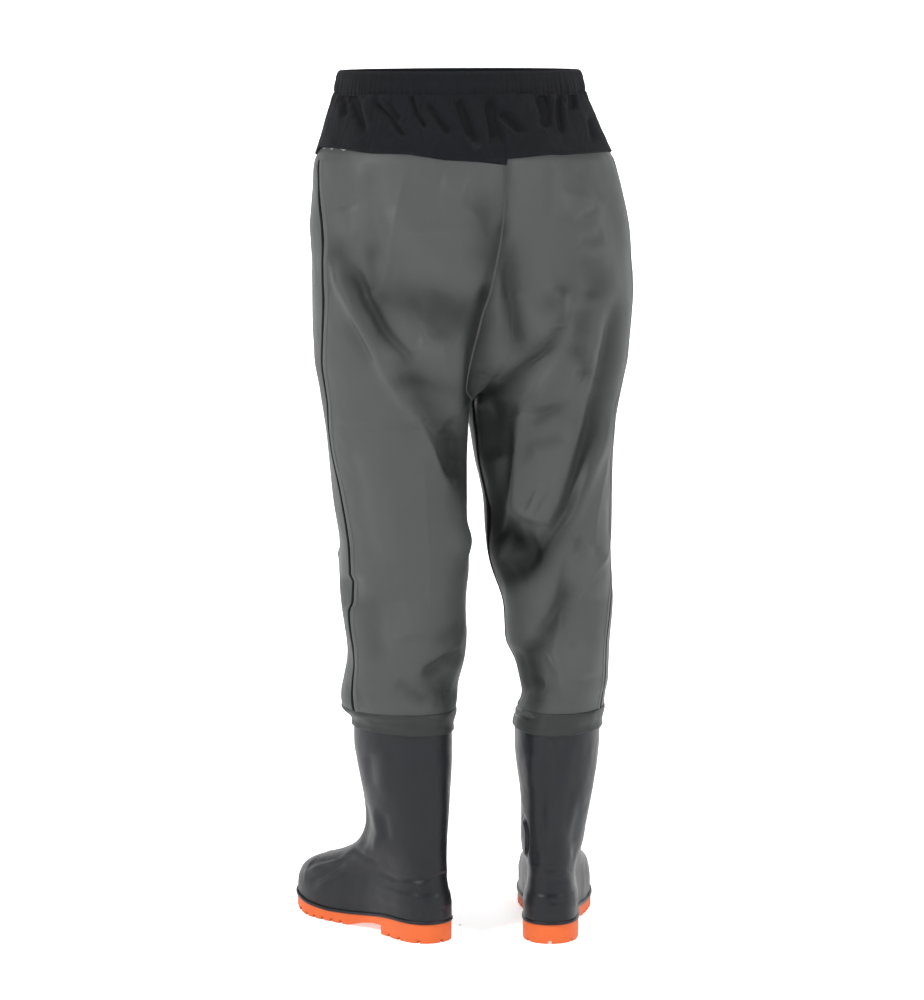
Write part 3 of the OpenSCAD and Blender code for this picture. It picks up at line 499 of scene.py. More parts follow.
def side_displacement(s, P, N):
    D, S = np.zeros(P.shape[:2]), np.ones(P.shape[:2])
    for back in (True, False):
        Q, K = (P, N) if back else (P * [-1, -1, 1], N * [-1, -1, 1])
        x, y, face = seen(Q, K)
        show = smooth(0.04, 0.30, face)
        add = np.zeros_like(D)
        for kind, width, amp, pts in LEFT + RIGHT + BROAD:
            gain = np.interp(width, [2, 5, 9, 14], [1.0, 1.6, 1.95, 2.1])
            add += gain * amp * stroke(x, y, pts, kind, width * (1.25 if width < 7 else 1.1))
        for pts in CREST:
            add += 3.0 * stroke(x, y, pts, "c", 3.6)
        add -= 3.0 * stroke(x, y, CENTRE, "g", 6)
        # painted shade: S darkens the colour along these valleys, more on the back than on the mirrored front, besides
        # pressing them in
        for width, strength, pts in SHADE:
            q = stroke(x, y, pts, "s", width)
            S *= 1 - (0.95 if back else 0.55) * strength * q * smooth(-0.1, 0.15, face)
            add -= 3.6 * strength * q
        D += add * show * (1.0 if back else 0.75) * (0.6 + 0.4 * smooth(195, 260, y))
    D = blur(15 * np.tanh(D / 15), 0.9, 0.9)
    z = P[..., 2]
    D += 0.8 * waves(P, 55, 130, 22, 11 + s) * smooth(300, 340, z) * smooth(1046, 1020, z)
    D += 0.10 * waves(P, 18, 36, 22, 31 + s)
    # the top is tucked under the yoke
    D -= 1.6 * smooth(1034, 1046, z) + 2.4 * smooth(1044, 1056, z)
    # the lower end runs under the top of the cuff
    D *= 0.35 + 0.65 * smooth(304, 330, z)
    if s > 0:
        D += 5.5 * np.exp(-((FR[None, :] + 0.05) / 0.3) ** 2 - ((z - 309) / 12) ** 2)
    D -= 1.2 * smooth(308.5, 306, z)
    # the second value is the painted shade, kept on the legs as the 'shade' attribute
    return D, 1 - S


GRID = {}
for s in (1, -1):
    P = wall(s, ZR[:, None], FR[None, :])
    N = grid_normals(P, s)
    GRID[s] = [P, N, *side_displacement(s, P, N)]
for c in (0, -1):  # both halves meet in the middle plane, and each leg closes along its inseam
    mean = (GRID[1][2][:, c] + GRID[-1][2][:, c]) / 2
    for s in (1, -1):
        D = GRID[s][2]
        D[~BELOW, c] = mean[~BELOW]
for s in (1, -1):
    P, N, D, PAINTED_SHADE = GRID[s]
    m = (D[BELOW, 0] + D[BELOW, -1]) / 2
    D[BELOW, 0] = m
    D[BELOW, -1] = m
    P2 = P + N * D[..., None]
    N2 = grid_normals(P2, s)
    arc = np.zeros(P.shape[:2])
    arc[:, 1:] = np.cumsum(np.linalg.norm(np.diff(P2, axis=1), axis=-1), axis=1)
    arc -= arc[:, [NC // 2]]
    UV = np.stack([arc / 1000, np.broadcast_to(ZR[:, None] / 1000, arc.shape)], -1)
    GRID[s] = [P2, N2, D, UV, PAINTED_SHADE]


def sample(s, z, f):
    """Point, normal and fold height of the finished surface at height z and fraction f."""
    P, N, D = GRID[s][:3]
    z, f = np.broadcast_arrays(np.asarray(z, float), np.asarray(f, float))
    f = np.where(f > 1, f - 2, np.where(f < -1, f + 2, f))
    a = np.interp(z, ZR, np.arange(len(ZR)))
    b = (f + 1) / 2 * (NC - 1)
    i, j = np.clip(a.astype(int), 0, len(ZR) - 2), np.clip(b.astype(int), 0, NC - 2)
    u, v = a - i, b - j

    def bil(A):
        if A.ndim == 3:
            uu, vv = u[..., None], v[..., None]
        else:
            uu, vv = u, v
        return (A[i, j] * (1 - uu) * (1 - vv) + A[i + 1, j] * uu * (1 - vv) + A[i, j + 1] * (1 - uu) * vv + A[i + 1, j + 1] * uu * vv)
    return bil(P), unit(bil(N)), bil(D)


OUTSEAM = {1: [(321, 150), (322, 183), (326, 243), (324, 301), (325, 322), (322, 374), (327, 420), (331, 449), (339, 485), (349, 525), (353, 544), (355, 562), (353, 583), (350, 611), (350, 634), (351, 667), (356, 692), (361, 715), (364, 730)],
           -1: [(628, 150), (634, 260), (632, 330), (624, 380), (614, 425), (611, 445), (611.5, 477), (611.5, 516), (611, 544), (610, 583), (608.5, 611), (606.5, 640), (604.5, 665), (601, 701), (598, 730)]}


def on_line(s, line, lo, hi, rows=slice(None)):
    """For every grid row, the fraction f between lo and hi at which the surface crosses a line in the picture."""
    P, N = GRID[s][0][rows], GRID[s][1][rows]
    line = np.array(line, float)
    cols = np.flatnonzero((FR >= lo) & (FR <= hi))
    x, y, face = seen(P[:, cols], N[:, cols])
    e = x - np.interp(y, line[:, 1], line[:, 0])
    out = np.zeros(len(P))
    for k in range(len(P)):
        j = int(np.argmin(abs(e[k]) + 60 * (face[k] < 0.0)))
        if 0 < j < len(cols) - 1:
            d = (e[k, j + 1] - e[k, j - 1]) / 2
            out[k] = FR[cols[j]] - np.clip(e[k, j] / d if abs(d) > 1e-3 else 0, -0.7, 0.7) * (FR[1] - FR[0])
        else:
            out[k] = FR[cols[j]]
    for k in (8, 20, 30):
        out = np.convolve(np.pad(out, k, mode="edge"), np.ones(2 * k + 1) / (2 * k + 1), mode="valid")
    return out


SIDE = {1: "left", -1: "right"}
for s in (1, -1):
    n = SIDE[s]
    P, N, D, UV, PAINTED_SHADE = GRID[s]
    mats = [M["leg"], M["leg_inside"]]
    # the 'shade' attribute carries the painted shade of the dark valleys
    cut = lambda a, b: (P[a:b + 1], N[a:b + 1], mats, s < 0, UV[a:b + 1], {"fold": D[a:b + 1], "shade": PAINTED_SHADE[a:b + 1]})
    upper = cloth_piece(f"{n}_leg_upper", *cut(CUT_MID, len(ZR) - 1))
    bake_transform(upper)
    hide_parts(f"{n}_seat_back", f"{n}_front_top", f"{n}_front_hip", f"{n}_back_hip", f"{n}_thigh_front", f"{n}_thigh_back")
    knee = cloth_piece(f"{n}_leg_knee", *cut(CUT_LOW, CUT_MID))
    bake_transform(knee)
    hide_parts(f"{n}_knee_pit", f"{n}_calf_front", f"{n}_calf_back")
    hem = cloth_piece(f"{n}_leg_hem", *cut(0, CUT_LOW))
    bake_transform(hem)
    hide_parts(f"{n}_hem")


# ------------------------------------------------------------------ seams laid on the legs
def ribbon(name, s, f0, z0, z1, across, heights, mat, path=None):
    """A strip along fraction f0. across and heights give its cross-section in mm, from the front of the seam towards the back."""
    z = np.linspace(z0, z1, max(8, int((z1 - z0) / 2.2)))
    per = 1000 * 0 + 1.0 / np.maximum(np.linalg.norm(wall(s, z, f0 + (0.004 if f0 <= 0 else -0.004)) - wall(s, z, f0), axis=-1) / 0.004, 1)
    mid = f0 if path is None else np.interp(z, ZR, path)[:, None]
    f = mid + per[:, None] * np.array(across)[None, :]
    P, N, D = sample(s, np.broadcast_to(z[:, None], f.shape), f)
    P = P + N * np.array(heights)[None, :, None]
    n = unit(np.cross(np.gradient(P, axis=1), np.gradient(P, axis=0))) * s
    uv = np.stack([np.broadcast_to(np.array(across) / 1000, f.shape), np.broadcast_to(z[:, None] / 1000, f.shape)], -1)
    faces = quads(*P.shape[:2], flip=s < 0)
    o = new_mesh(name, world(P).reshape(-1, 3), faces.tolist(), [mat], None, None, uv.reshape(-1, 2), {"fold": D.ravel()})
    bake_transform(o)
    return o


for s in (1, -1):
    n = SIDE[s]
    zc, zm = ZR[CUT_LOW], ZR[CUT_MID]
    way = on_line(s, OUTSEAM[s], -0.25, 0.45)
    spans = {"hem": (308, zc), "knee": (zc, zm), "upper": (zm, 1036)}
    for part, (a, b) in spans.items():
        # the dark line is painted shadow: the shade along the edge where the back panel laps over the front
        line = ribbon(f"{n}_outseam_shadow_line_{part}", s, 0, a, b, [-5.4, -4.8, -1.0, 1.9, 2.4], [0.05, 0.5, 0.6, 0.5, 0.05], M["seam"], way)
        welt = ribbon(f"{n}_outseam_welt_{part}", s, 0, a, b, [1.4, 1.8, 3.2, 5.5, 8, 9.4, 9.9], [0.05, 0.6, 0.75, 0.65, 0.6, 0.5, 0.05], M["welt"], way)
        if part == "upper":
            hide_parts(f"{n}_thigh_outseam", "hip_outseams")
        if part == "knee":
            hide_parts(f"{n}_calf_outseam")
        b2 = b if part != "upper" else 702
        inner = ribbon(f"{n}_inseam_{part}", s, 1, a, b2, [-4.2, -3.8, -2.0, 0, 2.0, 3.8, 4.2], [0.05, 0.8, 0.9, 0.9, 0.9, 0.8, 0.05], M["seam"])
        if part == "upper":
            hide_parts(f"{n}_thigh_inseam")
        if part == "knee":
            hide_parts(f"{n}_calf_inseam")


def centre_ribbon():
    above = np.flatnonzero(~BELOW)
    top = 1036.0
    back_f = on_line(1, CENTRE + [(470, 385), (467, 405)], 0.55, 1.0, above)
    zr = ZR[above]
    strips = []
    for front in (False, True):
        z = np.linspace(CROTCH_Z + 0.5, top, 170)
        f = -np.ones(len(z)) if front else np.interp(z, zr, back_f)
        speed = np.linalg.norm(wall(1, z, f * 0.996) - wall(1, z, f), axis=-1) / np.maximum(0.004 * abs(f), 1e-6)
        cols = []
        for w, h in ((-1.6, 0.05), (-0.9, 0.55), (0, 0.7), (0.9, 0.55), (1.6, 0.05)):
            if front:
                q = 1 if w >= 0 else -1
                p, nn, _ = sample(q, z, -(1 - abs(w) / np.maximum(speed, 30)))
            else:
                p, nn, _ = sample(1, z, np.minimum(f + w / np.maximum(speed, 30), 1.0))
            cols.append(p + nn * h)
        strips.append(np.stack(cols, 1))
    P = strips[0].reshape(-1, 3), strips[1].reshape(-1, 3)
    faces = np.concatenate([quads(170, 5, 0, flip=False), quads(170, 5, 850, flip=False)])
    zz = np.linspace(CROTCH_Z, top, 170) / 1000
    uv = np.stack(np.meshgrid(np.arange(5) / 1000, zz), -1).reshape(-1, 2)
    # the strip's darker colour is painted shade for the groove along the centre seam
    o = new_mesh("centre_seam_line", world(np.concatenate(P)), faces.tolist(), [M["centre"]], None, None, np.concatenate([uv, uv]), {"fold": np.zeros(1700)})
    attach(o, "waist")
    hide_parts("centre_seam")


centre_ribbon()

# ------------------------------------------------------------------ yoke and casing
NY = 760
TH = np.linspace(0, 2 * math.pi, NY, endpoint=False)


def trunk_at(z, th, off=0.0, straight=False):
    z, th = np.broadcast_arrays(np.asarray(z, float), np.asarray(th, float))
    if straight:
        t = ((z - (WAIST_TOP - CASING_H)) / CASING_H)[..., None]
        a, b = WAIST_TOP - CASING_H, WAIST_TOP
        r = row(LT, np.full(z.shape, a)) * (1 - t) + row(LT, np.full(z.shape, b)) * t
        l = row(LEAN, np.full(z.shape, a)) * (1 - t) + row(LEAN, np.full(z.shape, b)) * t
    else:
        r, l = row(LT, z), row(LEAN, z)
    return np.stack([l[..., 1] + (r[..., 3] - off) * np.cos(th), l[..., 2] + r[..., 2] + (r[..., 4] - off) * np.sin(th), z], -1)


def ring_normals(P):
    du = np.gradient(P, axis=0)
    dv = (np.roll(P, -1, 1) - np.roll(P, 1, 1)) / 2
    return unit(np.cross(dv, du))


SEAM_LINE = np.array([(300, 147), (326, 147), (368, 153), (408, 154), (444, 160), (478, 162), (504, 165), (505.5, 165), (507, 159), (519, 158), (552, 154.5), (564, 155), (612, 151), (640, 150)], float)
p0 = trunk_at(SEAM_Z, TH)
n0 = ring_normals(trunk_at(np.array([SEAM_Z - 1, SEAM_Z, SEAM_Z + 1])[:, None], TH[None, :]))[1]
x0, y0, face0 = seen(p0, n0)
drop = (np.interp(x0, SEAM_LINE[:, 0], SEAM_LINE[:, 1]) - y0) / 0.765
p1 = p0 * [-1, -1, 1]
x1, y1, face1 = seen(p1, n0 * [-1, -1, 1])
ZB = SEAM_Z - drop * smooth(0.0, 0.25, face0) - 0.4 * (np.interp(x1, SEAM_LINE[:, 0], SEAM_LINE[:, 1]) - y1) / 0.765 * smooth(0.0, 0.25, face1)

gen = np.random.default_rng(5)
PLEATS, a = [], 0.0
while a < 2 * math.pi - 0.03:
    a += gen.uniform(0.045, 0.10)
    PLEATS.append((a, gen.uniform(-0.10, 0.10), gen.uniform(16, 62), gen.uniform(2.6, 5.5), gen.uniform(0.8, 2.4) * (-1 if gen.random() < 0.6 else 0.7)))


def pleats(z, th, x, y, face):
    top = WAIST_TOP - CASING_H
    D = np.zeros(z.shape)
    for a, slant, length, width, amp in PLEATS:
        t = np.clip((top - z) / length, 0, None)
        d = np.angle(np.exp(1j * (th - a - slant * t))) * 150
        wide = width * (1 + 0.9 * t)
        D += amp * np.exp(-(d / wide) ** 2) * smooth(1.15, 0.1, t)
    near = smooth(0.05, 0.3, face)
    D *= 1 - 0.2 * near
    strokes = np.zeros(z.shape)
    for kind, width, amp, pts in YOKE:
        strokes += 2.6 * amp * stroke(x, y, pts, kind, width * 1.35)
    return D + strokes * near


rows_y = np.r_[0, 0.004, 0.012, 0.024, np.linspace(0.04, 1, 52)]
zy = ZB[None, :] + (WAIST_TOP - CASING_H + 1 - ZB[None, :]) * rows_y[:, None]
thy = np.broadcast_to(TH[None, :], zy.shape)
P = trunk_at(zy, thy)
N = ring_normals(P)
x, y, face = seen(P, N)
low = (zy - ZB[None, :])
D = pleats(zy, thy, x, y, face)
D = D * smooth(0, 22, low) + 0.5 * waves(P, 26, 60, 20, 3) * smooth(0, 10, low) + 0.14 * waves(P, 7, 14, 26, 4)
D = np.maximum(D, -1.3 - 4.2 * smooth(1054, 1072, zy))
lift = np.interp(low, [0, 0.35, 1.0, 2.0, 5, 40], [-1.6, 0.5, 1.3, 1.6, 1.3, 0.8])
P = P + N * (D + lift)[..., None]
N = ring_normals(P)
Pin = P[::2, ::2] - N[::2, ::2] * 1.1
m, k = P.shape[0], P.shape[1]
mi, ki = Pin.shape[:2]
faces = np.concatenate([quads(m, k, 0, wrap=True), quads(mi, ki, m * k, wrap=True, flip=True)])
arc = np.broadcast_to(TH[None, :] * 0.17, zy.shape)
uv = np.stack([arc, zy / 1000], -1)
uvs = np.concatenate([uv.reshape(-1, 2), uv[::2, ::2].reshape(-1, 2)])
yoke = new_mesh("yoke", np.concatenate([world(P).reshape(-1, 3), world(Pin).reshape(-1, 3)]), faces.tolist(), [M["yoke"]], None,
                np.concatenate([N.reshape(-1, 3), -N[::2, ::2].reshape(-1, 3)]), uvs, {"fold": np.concatenate([D.ravel(), D[::2, ::2].ravel()])})
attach(yoke, "waist")
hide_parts("yoke_front", "yoke_back", "yoke_side_seams")

# the casing: outside up, over the top, inside down
prof = [(-0.6, 1118.6), (0.3, 1119.4), (0.8, 1120.6), (0.0, 1122.4), (0.9, 1124.5), (1.5, 1128), (1.7, 1133), (1.3, 1137.2), (1.7, 1141), (1.4, 1145), (0.9, 1147.6), (-0.2, 1149.4), (-1.6, 1150.2), (-3.4, 1150.0),
        (-4.9, 1149.0), (-5.7, 1146.5), (-6.0, 1140), (-6.0, 1132), (-5.9, 1125), (-5.6, 1121)]
fine = []
for q in range(len(prof) - 1):
    for t in (0, 0.5):
        fine.append((prof[q][0] * (1 - t) + prof[q + 1][0] * t, prof[q][1] * (1 - t) + prof[q + 1][1] * t))
fine.append(prof[-1])
fine = np.array(fine)
zc = np.broadcast_to(fine[:, [1]], (len(fine), NY))
thc = np.broadcast_to(TH[None, :], zc.shape)
P = trunk_at(zc, thc, -fine[:, [0]], straight=True)
base_n = np.stack([np.cos(thc) / 165, np.sin(thc) / 112, np.zeros(zc.shape)], -1)
base_n = unit(base_n)
g2 = np.random.default_rng(9)
puck, a = np.zeros(zc.shape), 0.0
while a < 2 * math.pi - 0.02:
    a += g2.uniform(0.030, 0.062)
    slant, width, amp = g2.uniform(-0.02, 0.02), g2.uniform(1.8, 3.0), g2.uniform(0.6, 1.5)
    t = (zc - 1120) / 30
    d = np.angle(np.exp(1j * (thc - a - slant * t))) * 140
    puck -= amp * np.exp(-(d / width) ** 2) * (0.35 + 0.65 * smooth(0.75, 0.1, t))
inside = np.linspace(0, 1, len(fine))[:, None] > 0.66
D = np.where(inside, 0.6 * puck, puck) + 0.25 * waves(P, 20, 45, 16, 6)
D = np.where(inside, -D * 0.6, np.maximum(D, -1.6))
P = P + base_n * D[..., None]
N = ring_normals(P)
uv = np.stack([thc * 0.16, np.broadcast_to(np.cumsum(np.r_[0, np.linalg.norm(np.diff(fine, axis=0), axis=1)])[:, None] / 1000, zc.shape)], -1)
casing = new_mesh("waist_casing_gathered", world(P).reshape(-1, 3), quads(*P.shape[:2], wrap=True).tolist(), [M["yoke"]], None, N.reshape(-1, 3), uv.reshape(-1, 2), {"fold": D.ravel()})
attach(casing, "waist")
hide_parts("waist_casing")


# ------------------------------------------------------------------ boots
def in_place(P, s):
    """From the boot's own frame (heel at the origin, toe towards -Y, outer side +X) to the garment's."""
    px, py, turn = PLACE[s]
    t = math.radians(turn)
    x, y = P[..., 0] * s, P[..., 1]
    return np.stack([x * math.cos(t) - y * math.sin(t) + px, x * math.sin(t) + y * math.cos(t) + py, P[..., 2]], -1)


def boot_section(z, ph, t, s):
    """ph runs once round from the heel (0) over the outer side to the toe (pi) and back along the inner side."""
    z, ph = np.broadcast_arrays(np.asarray(z, float), np.asarray(ph, float))
    r = row(BOOT, z)
    outer = ph <= math.pi
    k = np.where(outer, ph, 2 * math.pi - ph)
    sb, sf = r[..., 1] - t, r[..., 2] - t
    hs, q = (sb + sf) / 2, (1 - np.cos(k)) / 2
    w = row(FULL, q)
    fw = np.where(outer, w[..., 1], w[..., 2]) * r[..., 3] * (1 - r[..., 4]) + r[..., 5] * r[..., 4] - t
    y = sb - 2 * hs * q
    lean = 0 if s > 0 else np.interp(z, SHAFT_LEAN[:, 0], SHAFT_LEAN[:, 1])
    return np.stack([np.where(outer, 1, -1) * fw * np.sin(k) + lean, y, z], -1)


NB = 192
PH = np.linspace(0, 2 * math.pi, NB, endpoint=False)
BOOT_STROKES = [
    ("s", 2.2, -1.8, [(383, 874), (396, 879), (420, 880), (446, 874)]), ("s", 1.5, -1.1, [(430, 907), (444, 909)]),
    ("g", 2.4, 1.9, [(302, 874), (320, 866), (339, 860), (354, 850)]), ("g", 2.2, 1.7, [(314, 890), (330, 880), (350, 868)]), ("g", 2.4, -1.8, [(308, 884), (326, 873), (346, 862)]),
    ("s", 2.0, -1.4, [(546, 870), (571, 871)]), ("s", 1.5, -1.0, [(550, 902), (564, 903)]), ("g", 6, 1.6, [(566, 878), (569, 894)]),
    ("g", 4.5, -3.2, [(362, 800), (368, 830), (362, 852)]), ("g", 3.5, 2.4, [(373, 806), (379, 832), (374, 852)]), ("g", 4, -2.0, [(384, 812), (388, 842)]), ("g", 3, -1.5, [(352, 845), (364, 856), (380, 862)]),
    ("g", 5, -2.0, [(369, 752), (371, 790)]), ("g", 7, 1.6, [(382, 745), (384, 800)]), ("g", 8, -1.2, [(430, 760), (434, 800), (436, 850)]),
    ("g", 6, 3.0, [(572, 740), (565, 780), (558, 815), (561, 850)]), ("g", 7, -3.2, [(548, 738), (546, 775), (540, 815), (546, 855)]), ("g", 6, 2.0, [(532, 750), (530, 790)]),
    ("g", 5, -2.2, [(582, 800), (574, 840), (577, 862)]), ("g", 4, 1.8, [(583, 846), (580, 866)]), ("g", 4, -1.6, [(534, 850), (536, 868)])]


def build_boot(s):
    n = SIDE[s]
    t = np.linspace(0, 1, 9)[:-1]
    low = boot_section((30 + 10 * t)[:, None], PH[None, :], 0.0, s)
    foot = np.interp(-low[..., 1], TOP[:, 0], TOP[:, 1]) + 0.6
    low[..., 2] = foot * (1 - t[:, None]) + 40 * t[:, None]
    zs = np.linspace(40, 297, 118)
    mid = boot_section(zs[:, None], PH[None, :], 0.0, s)
    rim = []
    for off, z in ((0.5, 298.2), (1.3, 298.6), (2.1, 298.2), (2.6, 297), (2.6, 285), (2.6, 265), (2.6, 240)):
        q = boot_section(min(z, 297.0), PH, off, s)
        q[..., 2] = z
        rim.append(q)
    P = np.concatenate([low, mid, np.stack(rim)])
    G = in_place(P, s)
    N = -ring_normals(G) * s
    x, y, face = seen(G, N)
    D = np.zeros(G.shape[:2])
    for kind, width, amp, pts in BOOT_STROKES:
        D += amp * stroke(x, y, pts, kind, width) * smooth(0.05, 0.3, face)
    z, fy, fx = P[..., 2], -P[..., 1], P[..., 0]
    # the ankle pad on the inner side
    e = np.hypot((fy - 8) / 15, (z - 133) / 26)
    D += np.where(fx < -8, 1.9 * smooth(1.0, 0.8, e) - 1.5 * np.exp(-((e - 1.12) / 0.12) ** 2), 0)
    # flex creases over the instep and a band round the heel counter
    D += -1.6 * np.exp(-((z - 84 - 0.22 * (150 - fy)) / 4.5) ** 2) * smooth(90, 130, fy) * smooth(200, 170, fy)
    D += 1.0 * np.exp(-((z - 97 - 0.22 * (140 - fy)) / 6) ** 2) * smooth(85, 120, fy)
    D += 0.9 * (smooth(66, 63, z) * smooth(40, 50, z)) * smooth(-5, 15, 60 - fy) * smooth(120, 60, fy)
    # toe cap ridge
    D += 0.9 * np.exp(-((fy - 196 - 0.1 * abs(fx)) / 2.2) ** 2) * smooth(40, 48, z)
    D += 0.5 * waves(P, 60, 150, 14, 50 + s) * smooth(60, 140, z) * smooth(297, 285, z) + 0.1 * waves(P, 14, 30, 16, 60 + s)
    D[len(low) + len(zs):] = 0
    D[:3] *= 0.2
    G = G + N * D[..., None]
    N = -ring_normals(G) * s
    uv = np.stack(np.broadcast_arrays(PH[None, :] * 0.07, P[..., 2] / 1000), -1)
    o = new_mesh(f"{n}_boot", world(G).reshape(-1, 3), quads(*G.shape[:2], wrap=True, flip=s > 0).tolist(), [M["boot"]], None, N.reshape(-1, 3), uv.reshape(-1, 2), {"fold": D.ravel()})
    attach(o, f"{n}_boot")
    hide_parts(f"{n}_boot_upper")

    # the moulded lip where the upper meets the sole
    q = (1 - np.cos(np.where(PH <= math.pi, PH, 2 * math.pi - PH))) / 2
    w = row(FULL, q)
    sgn = np.where(PH <= math.pi, 1, -1)

    def outline(grow):
        fw = np.where(PH <= math.pi, w[:, 1], w[:, 2]) + grow
        return np.stack([sgn * fw * np.sin(np.where(PH <= math.pi, PH, 2 * math.pi - PH)), 37 + grow - (290 + 2 * grow) * q], -1)
    rows = []
    for grow, dz in ((-1.5, -1.0), (0.6, -1.5), (1.5, -1.3), (1.9, -0.4), (2.0, 0.8), (1.8, 1.9), (1.1, 2.7), (0.0, 3.2), (-1.6, 3.6), (-3.0, 3.2)):
        xy = outline(grow)
        rows.append(np.column_stack([xy, np.interp(-xy[:, 1], TOP[:, 0], TOP[:, 1]) + dz]))
    F = in_place(np.stack(rows), s)
    NF = -ring_normals(F) * s
    lip = new_mesh(f"{n}_welt", world(F).reshape(-1, 3), quads(*F.shape[:2], wrap=True, flip=s > 0).tolist(), [M["boot"]], None, NF.reshape(-1, 3), np.zeros((F.shape[0] * F.shape[1], 2)), {"fold": np.zeros(F.shape[0] * F.shape[1])})
    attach(lip, f"{n}_boot")
    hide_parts(f"{n}_foxing")

    # the welded cuff: its lower edge grips the boot, its top laps over the leg's lower end
    zc = np.array([CUFF_Z0 + 0.8, CUFF_Z0, CUFF_Z0 + 0.2, CUFF_Z0 + 0.9, CUFF_Z0 + 2, *np.linspace(CUFF_Z0 + 4, 308.5, 16), 309.2, 309.3, 309.0])
    oc = np.interp(zc, [CUFF_Z0 + 1.5, CUFF_Z0 + 4, 288, 310], [-0.3, -0.2, 0.3, 0.3])
    oc[:4] = 2.4, 1.4, 0.3, -0.2
    lift = np.r_[np.full(len(zc) - 3, 1.1), 0.9, 0.3, -0.8]
    th = np.linspace(0, 2 * math.pi, 240, endpoint=False)
    T = LT if s > 0 else RT
    zz, tt = np.broadcast_arrays(zc[:, None], th[None, :])
    r = row(T, np.minimum(zz, 296))
    u, v, turn = (r[..., 3] - oc[:, None]) * np.cos(tt), (r[..., 4] - oc[:, None]) * np.sin(tt), np.radians(r[..., 5])
    C = np.stack([s * (r[..., 1] + u * np.cos(turn) - v * np.sin(turn)), r[..., 2] + u * np.sin(turn) + v * np.cos(turn), zz], -1)
    leg, leg_n, _ = sample(s, np.full(zz.shape, 310.0), tt / math.pi)
    leg = leg + leg_n * lift[:, None, None]
    grow = smooth(286, 306, zz)[..., None]
    C[..., :2] = C[..., :2] * (1 - grow) + leg[..., :2] * grow
    C[..., 2] += 0.7 * np.sin(2 * tt + 1) * smooth(290, 282, zz)
    NC_ = ring_normals(C) * s
    Dc = (0.45 * waves(C, 24, 60, 18, 70 + s) + 0.45 * np.exp(-((zz - 305.5) / 1.6) ** 2)) * smooth(309, 306.5, zz)
    C = C + NC_ * Dc[..., None]
    uv = np.stack(np.broadcast_arrays(th[None, :] * 0.065, zz / 1000), -1)
    cuff = new_mesh(f"{n}_boot_cuff", world(C).reshape(-1, 3), quads(*C.shape[:2], wrap=True, flip=s < 0).tolist(), [M["cuff"]], None, (ring_normals(C) * s).reshape(-1, 3), uv.reshape(-1, 2), {"fold": Dc.ravel()})
    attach(cuff, f"{n}_boot")
    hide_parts(f"{n}_cuff")

    # the outsole: the CAD solid with softened edges
    src = nodes[f"{n}_outsole"]
    bm = bmesh.new()
    bm.from_mesh(src.data)
    bmesh.ops.remove_doubles(bm, verts=bm.verts, dist=1e-6)
    bmesh.ops.dissolve_limit(bm, angle_limit=math.radians(1.0), verts=bm.verts, edges=bm.edges)
    me = bpy.data.meshes.new(f"{n}_outsole_moulded")
    bm.to_mesh(me)
    bm.free()
    o = bpy.data.objects.new(f"{n}_outsole_moulded", me)
    bpy.context.scene.collection.objects.link(o)
    mod = o.modifiers.new("bevel", "BEVEL")
    mod.width, mod.segments, mod.limit_method, mod.angle_limit = 0.0011, 2, "ANGLE", math.radians(35)
    dg = bpy.context.evaluated_depsgraph_get()
    baked = bpy.data.meshes.new_from_object(o.evaluated_get(dg))
    o.modifiers.clear()
    o.data = baked
    baked.name = f"{n}_outsole_moulded"
    baked.polygons.foreach_set("use_smooth", [True] * len(baked.polygons))
    baked.set_sharp_from_angle(angle=math.radians(32))
    baked.materials.clear()
    baked.materials.append(M["orange"])
    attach(o, f"{n}_boot")
    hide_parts(f"{n}_outsole")


for s in (1, -1):
    build_boot(s)

# ------------------------------------------------------------------ CAD nodes that stay, with better finishes
for name, o in nodes.items():
    if o.hide_render:
        continue
    key, slot_name = {"waist_elastic": ("elastic", "elastic"), "waist_seam_tape": ("tape", "inner_tape")}.get(name, (None, None))
    if key is None:
        key, slot_name = ("lining", "lining") if name.endswith("lining") else ("insole", "insole") if name.endswith("insole") else ("leg", "leg_fabric")
    o.data.materials.clear()
    o.data.materials.append(M[key])
    print("kept CAD node", name, key)

# ------------------------------------------------------------------ floor, light, camera
fm = material("floor", (0.96, 0.96, 0.96), (0.955, 0.955, 0.955), (0.965, 0.965, 0.965), rough=0.8, grain=200, bump=0.02, specular=0.1)
wm = material("surround", (0.96, 0.96, 0.96), (0.955, 0.955, 0.955), (0.965, 0.965, 0.965), rough=0.8, grain=200, bump=0.02, specular=0.1)
for mat, glow in ((fm, 0.5), (wm, 0.9)):
    for node in mat.node_tree.nodes:
        if node.type == "BSDF_PRINCIPLED":
            node.inputs["Emission Color"].default_value = (1, 1, 1, 1)
            node.inputs["Emission Strength"].default_value = glow


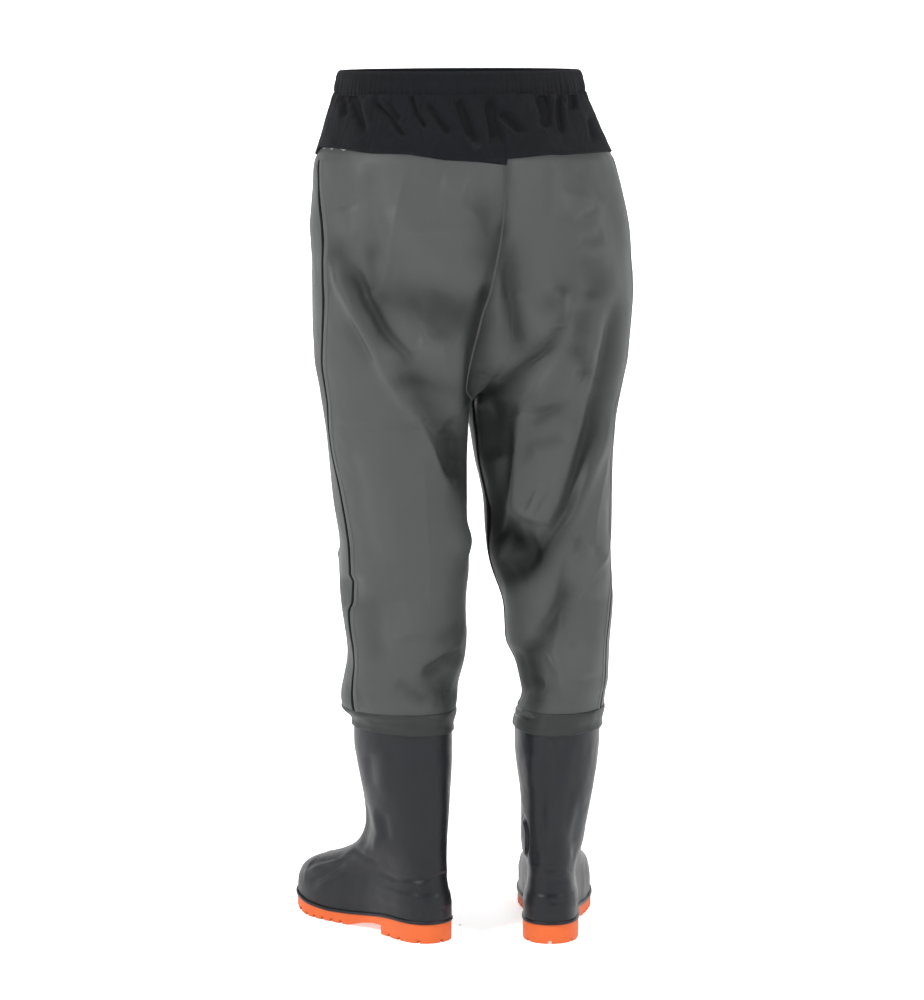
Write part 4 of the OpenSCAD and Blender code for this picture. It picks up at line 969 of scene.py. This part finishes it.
def turned(name, line, mat):
    """A surface turned about the vertical axis through the object's foot, from (radius, height) pairs, facing inwards and up."""
    a = np.linspace(0, 2 * math.pi, 96, endpoint=False)
    V = np.array([[[r * math.cos(t), r * math.sin(t), h - 0.0006] for t in a] for r, h in line])
    o = new_mesh(name, V.reshape(-1, 3), quads(len(line), 96, wrap=True, flip=True).tolist(), [mat])


turned("floor", [(0.002, 0), (0.6, 0), (1.5, 0), (2.2, 0)], fm)
turned("surround", [(2.2, 0), (4.0, 0), (6.5, 0), (9.0, 0)] + [(9.0 + 1.5 * math.sin(q), 1.5 - 1.5 * math.cos(q)) for q in np.linspace(0.15, math.pi / 2, 10)] + [(10.5, 2.5), (10.5, 3.6)], wm)

scene = bpy.context.scene
scene.view_settings.view_transform = "Standard"
w = bpy.data.worlds.new("studio")
scene.world = w
w.use_nodes = True
bg = w.node_tree.nodes["Background"]
bg.inputs[0].default_value = (1, 1, 1, 1)
bg.inputs[1].default_value = 0.12


def area(name, place, size, power, aim=(0, 0.05, 0.6)):
    d = bpy.data.lights.new(name, "AREA")
    d.shape, d.size, d.size_y, d.energy = "RECTANGLE", size[0], size[1], power
    o = bpy.data.objects.new(name, d)
    o.location = place
    o.rotation_mode = "QUATERNION"
    o.rotation_quaternion = (Vector(aim) - Vector(place)).to_track_quat("-Z", "Y")
    scene.collection.objects.link(o)


area("key_right", (-2.5, 3.5, 3.3), (1.2, 1.4), 128)
area("key_left", (4.0, 1.4, 3.9), (1.0, 1.0), 262)
area("front_fill", (-1.6, -4.2, 2.6), (1.5, 1.5), 60)
area("top", (-0.3, 0.2, 4.2), (4.0, 4.0), 92, aim=(-0.3, 0.0, 0.0))

cam = bpy.data.objects.new("camera", bpy.data.cameras.new("camera"))
cam.location = CAM
cam.rotation_mode = "QUATERNION"
cam.rotation_quaternion = Vector(AIM - CAM).to_track_quat("-Z", "Y")
cam.data.sensor_width = 36
cam.data.lens = 36 * FOCAL / 1000
cam.data.clip_end = 100
scene.collection.objects.link(cam)
scene.camera = cam
